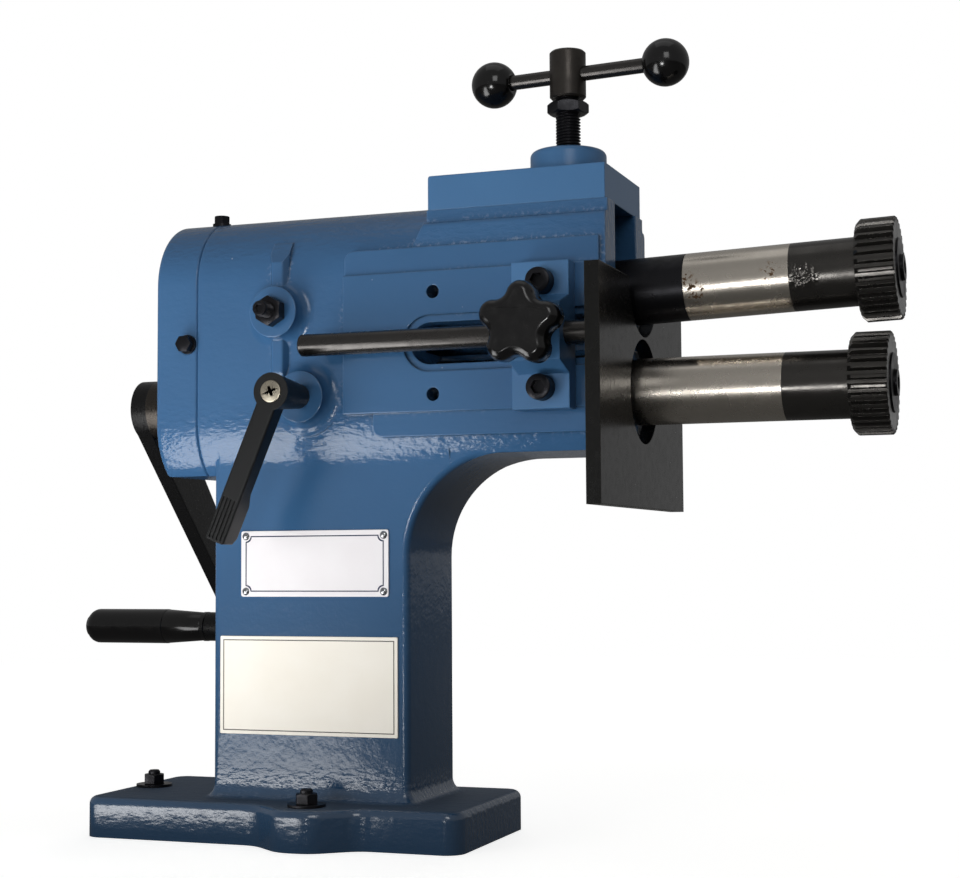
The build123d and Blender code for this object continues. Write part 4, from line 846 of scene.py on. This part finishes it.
def makeBallKnobs(look):
    low, high, middle, _ = spot("ball_knobs")
    radius, half, bore, lip = look["diameter"] / 2, look["flat"] / 2, look["bore"] / 2, look["lip"]
    flat = sqrt(radius ** 2 - half ** 2)
    bottom = flat - look["socket"]
    profile = [(0, bottom), (bore, bottom), (bore, flat - lip), (bore + lip, flat), (half - lip, flat)]
    profile += arcPoints((0, 0), radius, degrees(atan2(flat, half)), -90, 40)
    bm = bmesh.new()
    latheProfile(bm, profile, steps=72)
    left = Vector((low.x + radius, high.y - radius, middle.z))
    right = Vector((high.x - radius, low.y + radius, middle.z))
    yaw = Matrix.Rotation(atan2(right.y - left.y, right.x - left.x), 4, "Z")
    setOut(bm, [at(*left) @ yaw @ alongX, at(*right) @ yaw @ againstX])
    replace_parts(finishPiece("phenolic_balls", bm, [knobBlack], "ball_knobs", 50), "ball_knobs")


makeBallKnobs(ball)

# Star knob: five lobes that swell like a pillow, on a waisted neck
starKnob = {
    "lobes": 5, "reach": 25.5, "core": 18.7, "lobe": 8.5, "thick": 17.0, "turn": -4.0, "steps": 12,
    "crown": 7.0, "crownSpread": 0.8, "crownTurns": (0, 15, 30, 45, 60, 75, 90),
    "dish": ((0.86, 0.15), (0.8, 0.3), (0.7, 0.35), (0.55, 0.2), (0.3, 0.05)),
    "backRise": 1.5, "backSteps": ((0.4, 0.9), (0.9, 0.6)),
    "neck": 20.0, "neckLength": 14.0, "neckEdge": 0.6, "flare": 1.5, "flareLength": 3.0, "overlap": 0.2, "bore": 8.0,
}


# outline of one lobe and the valley after it: two arcs that meet in line
def starOutline(look):
    step = pi / look["lobes"]
    hub = look["reach"] - look["lobe"]
    along = hub * cos(step)
    spread = hub ** 2 + look["core"] ** 2 - 2 * along * look["core"] - look["lobe"] ** 2
    valley = spread / (2 * (look["lobe"] + along - look["core"]))
    far = look["core"] + valley
    lean = degrees(atan2(far * sin(step), far * cos(step) - hub))
    dip = 180 + 2 * degrees(step) - lean
    lobe = arcPoints((hub, 0), look["lobe"], -lean, lean, look["steps"])
    lobe += arcPoints((far * cos(step), far * sin(step)), valley, 180 + lean, dip, look["steps"])[1:-1]
    points = []
    for i in range(look["lobes"]):
        turn = Matrix.Rotation(2 * step * i + radians(90 + look["turn"]), 2)
        points += [turn @ Vector(point) for point in lobe]
    return points


def makeStarKnob(look):
    _, high, middle, _ = spot("fence_knob")
    bottom = look["neckLength"]
    rear = bottom + look["backRise"]
    crown = look["crown"]
    bm = bmesh.new()
    face = bm.faces.new([bm.verts.new((point.x, point.y, rear)) for point in starOutline(look)])
    lift = bmesh.ops.extrude_face_region(bm, geom=[face])["geom"]
    bmesh.ops.translate(bm, vec=(0, 0, look["thick"] - crown - look["backRise"]), verts=pick(lift, BMVert))
    # inset rings rise to a pillowed front with a shallow dish, and a flatter back
    front = pick(lift, BMFace)
    rises = [(sin(radians(a)), 1 - cos(radians(a))) for a in look["crownTurns"]]
    for (rise, run), (nextRise, nextRun) in zip(rises, rises[1:]):
        bmesh.ops.inset_region(
            bm, faces=front, thickness=(nextRun - run) * crown * look["crownSpread"], depth=(nextRise - rise) * crown,
            use_even_offset=True,
        )
    for share, sink in look["dish"]:
        made = bmesh.ops.extrude_face_region(bm, geom=front)["geom"]
        front = pick(made, BMFace)
        dished = pick(made, BMVert)
        bmesh.ops.scale(bm, vec=(share, share, 1), verts=dished)
        bmesh.ops.translate(bm, vec=(0, 0, -sink), verts=dished)
    back = [face for face in bm.faces if all(abs(vert.co.z - rear) < 2 * sameLevel for vert in face.verts)]
    for thickness, depth in look["backSteps"]:
        bmesh.ops.inset_region(bm, faces=back, thickness=thickness, depth=depth, use_even_offset=True)
    neck, bore = look["neck"] / 2, look["bore"] / 2
    latheProfile(bm, [
        (bore, bottom + look["flareLength"]), (bore, 0), (neck - look["neckEdge"], 0), (neck, look["neckEdge"]),
        (neck, bottom - look["flareLength"]), (neck + look["flare"], bottom + look["overlap"]),
    ], steps=64)
    setOut(bm, [at(middle.x, high.y, middle.z) @ towardsFront])
    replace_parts(finishPiece("star_knob_moulding", bm, [knobSatin], "fence_knob", 50), "fence_knob")


makeStarKnob(starKnob)

# Handle grip: turned phenolic with a parting line and a small collar
grip = {
    "diameter": 26.4, "neck": 21.6, "collar": 22.4, "collarLength": 4.0, "shoulder": 69.5, "bore": 10.1,
    "edge": 0.5, "collarFoot": 0.4, "waist": 0.3, "waistDrop": 0.6, "groove": ((0.25, 0.5), (0.35, 0.1), (0.0, -0.3)),
    "end": 9.0, "endTurn": -62, "recess": 8.3, "recessLip": 0.3, "recessDepth": 3.6,
}


def makeGrip(look):
    low, _, middle, size = spot("crank_grip")
    length = size.x
    wide, neck, collar, bore = (look[name] / 2 for name in ("diameter", "neck", "collar", "bore"))
    edge, end, recess = look["edge"], look["end"], look["recess"]
    step = length - look["collarLength"]
    profile = [(bore, length), (collar - edge, length), (collar, length - edge)]
    profile += [(collar, step + look["collarFoot"]), (neck - look["waist"], step), (neck, step - look["waistDrop"])]
    profile += [(wide - inset, look["shoulder"] + rise) for inset, rise in look["groove"]]
    profile += [(wide, end)] + arcPoints((wide - end, end), end, 0, look["endTurn"], 10)
    profile += [(recess, look["recessLip"]), (recess, look["recessDepth"]), (bore, look["recessDepth"])]
    bm = bmesh.new()
    latheProfile(bm, profile, steps=72)
    latheProfile(bm, [(bore, look["recessDepth"]), (bore, length)], steps=72)
    setOut(bm, [at(low.x, middle.y, middle.z) @ alongX])
    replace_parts(finishPiece("grip_turning", bm, [knobBlack], "crank_grip", 25), "crank_grip")


makeGrip(grip)

# Lever cap screw: a flat plated head with a cross recess
leverScrew = {
    "diameter": 14.0, "thick": 2.3, "cross": 3.4, "arm": 0.8, "depth": 1.4, "shank": 5.0, "length": 10.0,
    "crown": ((0.0, 0.7), (0.25, 0.2), (0.9, 0.0)), "turn": 20.0,
}


def makeLeverScrew(look):
    low, _, middle, _ = spot("clamp_lever_screw")
    radius, shank, thick = look["diameter"] / 2, look["shank"] / 2, look["thick"]
    profile = [(0, -look["length"]), (shank, -look["length"]), (shank, 0), (radius, 0)]
    profile += [(radius - inset, thick - drop) for inset, drop in look["crown"]]
    bm = bmesh.new()
    rim = latheProfile(bm, profile, steps=48)
    reach, half = look["cross"], look["arm"]
    cross = []
    for i in range(4):
        c, s = cos(radians(90 * i)), sin(radians(90 * i))
        cross += [(x * c - y * s, x * s + y * c) for x, y in ((reach, -half), (reach, half), (half, half))]
    sinkRecess(bm, rim, cross, look["depth"], thick)
    setOut(bm, [at(middle.x, low.y + thick, middle.z) @ towardsFront @ turnedBy(look["turn"])])
    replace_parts(finishPiece("lever_cross_screw", bm, [warmZinc], "clamp_lever_screw"), "clamp_lever_screw")


makeLeverScrew(leverScrew)
print("knobs and grip made")

# Lift spring: a coil of wire under the rocker, made here at one fixed length, though the real one closes up as the
# rocker comes down
liftSpring = {"wire": 2.0, "turns": 4.5, "steps": 36, "sides": 12}


def inMetres(middle, height):
    return (middle.x * millimetre, middle.y * millimetre, height * millimetre)


def makeLiftSpring(look):
    low, high, middle, size = spot("lift_spring")
    radius = look["wire"] / 2
    foot, top = low.z + radius, high.z - radius
    steps = round(look["turns"] * look["steps"])
    bm = bmesh.new()
    place = at((size.x - look["wire"]) / 2, 0, 0) @ towardsFront
    bmesh.ops.create_circle(bm, segments=look["sides"], radius=radius, matrix=place)
    start = bm.edges[:]
    coil = bmesh.ops.spin(
        bm, geom=bm.verts[:] + start, cent=(0, 0, 0), axis=(0, 0, 1), dvec=(0, 0, (top - foot) / steps),
        angle=2 * pi * look["turns"], steps=steps,
    )
    for rim in (start, pick(coil["geom_last"], BMEdge)):
        bmesh.ops.contextual_create(bm, geom=rim)
    setOut(bm, [at(middle.x, middle.y, foot)])
    stretch = ("frame", "rocker_arm", inMetres(middle, low.z), inMetres(middle, high.z))
    piece = finishPiece("lift_spring_coil", bm, [springWire], "lift_spring", across=stretch)
    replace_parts(piece, "lift_spring")


makeLiftSpring(liftSpring)
print("spring made")

# Plates on the column: thin lacquered sheets with a printed border line
namePlate = {
    "node": "name_plate", "inset": 3.2, "line": 0.75, "scoop": 3.6, "corner": 1.5, "film": 0.05, "edge": 0.25,
}
dataPlate = {
    "node": "data_plate", "inset": 2.2, "line": 0.65, "scoop": 0.0, "corner": 0.8, "film": 0.05, "edge": 0.25,
}


def bevelEdges(bm, edges, offset, segments):
    bmesh.ops.bevel(
        bm, geom=edges, offset=offset, offset_type="OFFSET", affect="EDGES", segments=segments, profile=0.5,
        material=-1,
    )


# corners of a border line so far in from the plate's edge, scooped out where the look says so
def borderCorners(look, size, inset):
    halfX, halfZ = size.x / 2 - inset, size.z / 2 - inset
    steps = 8 if look["scoop"] else 0
    corners = []
    for index, (sx, sz) in enumerate(((1, 1), (-1, 1), (-1, -1), (1, -1))):
        for i in range(steps + 1):
            lean = radians(270 + 90 * index - 90 * i / max(steps, 1))
            corners.append((sx * halfX + look["scoop"] * cos(lean), sz * halfZ + look["scoop"] * sin(lean)))
    return corners


def makePlate(look, sheet, ink):
    low, _, middle, size = spot(look["node"])
    bm = bmesh.new()
    bmesh.ops.create_cube(bm, size=1.0)
    bmesh.ops.scale(bm, vec=size, verts=bm.verts)
    upright = [edge for edge in bm.edges if abs(edge.verts[0].co.y - edge.verts[1].co.y) > 0.5 * size.y]
    bevelEdges(bm, upright, look["corner"], 6)
    front = [edge for edge in bm.edges if all(vert.co.y < 0 for vert in edge.verts)]
    bevelEdges(bm, front, look["edge"], 2)
    setOut(bm, [at(*middle)])
    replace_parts(finishPiece(look["node"] + "_sheet", bm, [sheet], look["node"], 20), look["node"])
    bm = bmesh.new()
    outer, inner = (
        [bm.verts.new((x, 0, z)) for x, z in borderCorners(look, size, inset)]
        for inset in (look["inset"], look["inset"] + look["line"])
    )
    for i in range(len(outer)):
        bm.faces.new((outer[i - 1], outer[i], inner[i], inner[i - 1]))
    strip = bmesh.ops.extrude_face_region(bm, geom=bm.faces[:])["geom"]
    bmesh.ops.translate(bm, vec=(0, -look["film"], 0), verts=pick(strip, BMVert))
    setOut(bm, [at(middle.x, low.y, middle.z)])
    finishPiece(look["node"] + "_border", bm, [ink], look["node"])


# drive rivets with a low round head, pressed over the plate's corners
rivet = {"head": 5.2, "rise": 1.4, "rim": 0.25, "inset": 3.4}


def makeRivets(look):
    low = spot("name_plate_rivets")[0]
    plateLow, plateHigh = spot("name_plate")[:2]
    half, rise, inset = look["head"] / 2, look["rise"], look["inset"]
    radius = (half ** 2 + rise ** 2) / (2 * rise)
    lean = degrees(atan2(half, radius - rise))
    bm = bmesh.new()
    dome = arcPoints((0, rise - radius), radius, 90, 90 - lean, 8)
    latheProfile(bm, [(0, -look["rim"]), (half, -look["rim"])] + dome[::-1], steps=32)
    xs = (plateLow.x + inset, plateHigh.x - inset)
    zs = (plateLow.z + inset, plateHigh.z - inset)
    setOut(bm, [at(x, low.y + rise, z) @ towardsFront for x in xs for z in zs])
    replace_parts(finishPiece("drive_rivets", bm, [zinc], "name_plate_rivets"), "name_plate_rivets")


makeRivets(rivet)
makePlate(namePlate, whitePlate, plateInk)
makePlate(dataPlate, creamPlate, plateLine)
print("plates made")

# Floor, world, lamps and camera
stage = {
    "radius": 6.0, "near": 0.7, "far": 2.2, "floor": "#e6e6e3", "dull": "#5c5b59", "lift": 0.73,
    "room": 0.13, "front": 0.28, "backdrop": 0.28, "depth": (-0.4, 0.7), "mirror": 0.05, "white": "#ffffff",
}


# pale paper that the camera sees near white, with the object's shadow on it, and that fades into the backdrop
def makeFloor(look):
    bm = bmesh.new()
    bmesh.ops.create_circle(bm, cap_ends=True, segments=96, radius=look["radius"])
    mesh = bpy.data.meshes.new("floor")
    bm.to_mesh(mesh)
    bm.free()
    floor = bpy.data.objects.new("floor", mesh)
    scene.collection.objects.link(floor)
    material, coord = newMaterial("matt_paper_floor", 0.0, 0.9, 0.1)
    tree = material.node_tree
    shader = tree.nodes["Principled BSDF"]
    shader.inputs["Base Color"].default_value = tint(look["floor"])
    away = addNode(tree, "VectorMath", {"operation": "LENGTH"}, {0: coord}).outputs["Value"]
    fade = remap(away, (look["near"], look["far"]), smooth=True)
    glow, white = (
        addNode(tree, "Emission", None, {"Color": tint(look["white"]), "Strength": strength}).outputs[0]
        for strength in (look["lift"], 1.0)
    )
    lifted = addNode(tree, "AddShader", None, {0: shader.outputs["BSDF"], 1: glow}).outputs[0]
    paper = addNode(tree, "MixShader", None, {0: fade, 1: lifted, 2: white}).outputs[0]
    # light that bounces off the floor on to the object comes from a duller sheet
    dull = addNode(tree, "BsdfDiffuse", None, {"Color": tint(look["dull"])}).outputs["BSDF"]
    path = addNode(tree, "LightPath").outputs
    shown = maths("MAXIMUM", path["Is Camera Ray"], path["Is Transmission Ray"])
    seen = maths("MAXIMUM", shown, maths("MULTIPLY", path["Is Glossy Ray"], look["mirror"]))
    mixed = addNode(tree, "MixShader", None, {0: seen, 1: dull, 2: paper}).outputs[0]
    tree.links.new(mixed, tree.nodes["Material Output"].inputs["Surface"])
    mesh.materials.append(material)


# white to the camera; the metal sees a pale backdrop behind the machine and a room in front of it
def makeWorld(look):
    world = bpy.data.worlds.new("studio")
    scene.world = world
    world.use_nodes = True
    tree = world.node_tree
    place = splitAxes(addNode(tree, "TexCoord").outputs["Generated"])
    level = remap(place["Y"], look["depth"], (look["front"], look["backdrop"]), smooth=True)
    path = addNode(tree, "LightPath").outputs
    mirrored = maths("MAXIMUM", path["Is Glossy Ray"], path["Is Transmission Ray"])
    around = mixValue(mirrored, look["room"], level)
    background = tree.nodes["Background"]
    background.inputs["Color"].default_value = tint(look["white"])
    tree.links.new(mixValue(path["Is Camera Ray"], around, 1.0), background.inputs["Strength"])


# place, aim, size and power; only mirrored lamps show in the gloss. Bounce and glint lie on the floor.
lamps = {
    "key": ((-1.2, -2.1, 0.38), (0.05, 0, 0.2), (1.8, 0.7), 20.5),
    "bounce": ((-0.3703, -0.7091, 0.012), (-0.3662, -0.7008, 1.0), (0.28, 1.22), 6.1),
    "glint": ((0.17, -1.4, 0.012), (0.17, -1.39, 1.0), (0.25, 0.7), 12.5),
    "roof": ((0.1, 0.0, 2.2), (0.1, 0, 0.3), (1.6, 1.2), 1.8),
    "back": ((-0.4, 2.4, 0.55), (0.05, 0, 0.25), (2.0, 0.9), 26),
    "side": ((2.4, 0.3, 0.6), (0.1, 0, 0.25), (1.4, 0.9), 5),
    "strip": ((0.9, -1.9, 1.3), (0.15, 0, 0.35), (0.8, 1.0), 7),
}
mirroredLamps = ("bounce", "glint", "roof", "strip")


def makeLamps(rows):
    for name, (place, aim, size, power) in rows.items():
        data = bpy.data.lights.new(name, "AREA")
        data.shape = "RECTANGLE"
        data.size, data.size_y = size
        data.energy = power
        lamp = bpy.data.objects.new(name, data)
        scene.collection.objects.link(lamp)
        lamp.location = place
        lamp.rotation_euler = (Vector(aim) - Vector(place)).to_track_quat("-Z", "Y").to_euler()
        lamp.visible_glossy = name in mirroredLamps
        lamp.visible_camera = False


# fitted to the photo's straight lines
view = {
    "place": (0.52377, -1.10263, 0.17831), "right": (0.93983, 0.34157, -0.00592), "up": (0.02843, -0.06092, 0.99774),
    "forward": (-0.34044, 0.93788, 0.06697), "lens": 68.06, "sensor": 36.0,
}


def makeCamera(look):
    data = bpy.data.cameras.new("camera")
    data.lens = look["lens"]
    data.sensor_width = look["sensor"]
    camera = bpy.data.objects.new("camera", data)
    scene.collection.objects.link(camera)
    columns = (Vector(look["right"]), Vector(look["up"]), -Vector(look["forward"]))
    camera.matrix_world = at(*look["place"]) @ Matrix(columns).transposed().to_4x4()
    scene.camera = camera


makeFloor(stage)
makeWorld(stage)
makeLamps(lamps)
makeCamera(view)
print("stage, lamps and camera set")
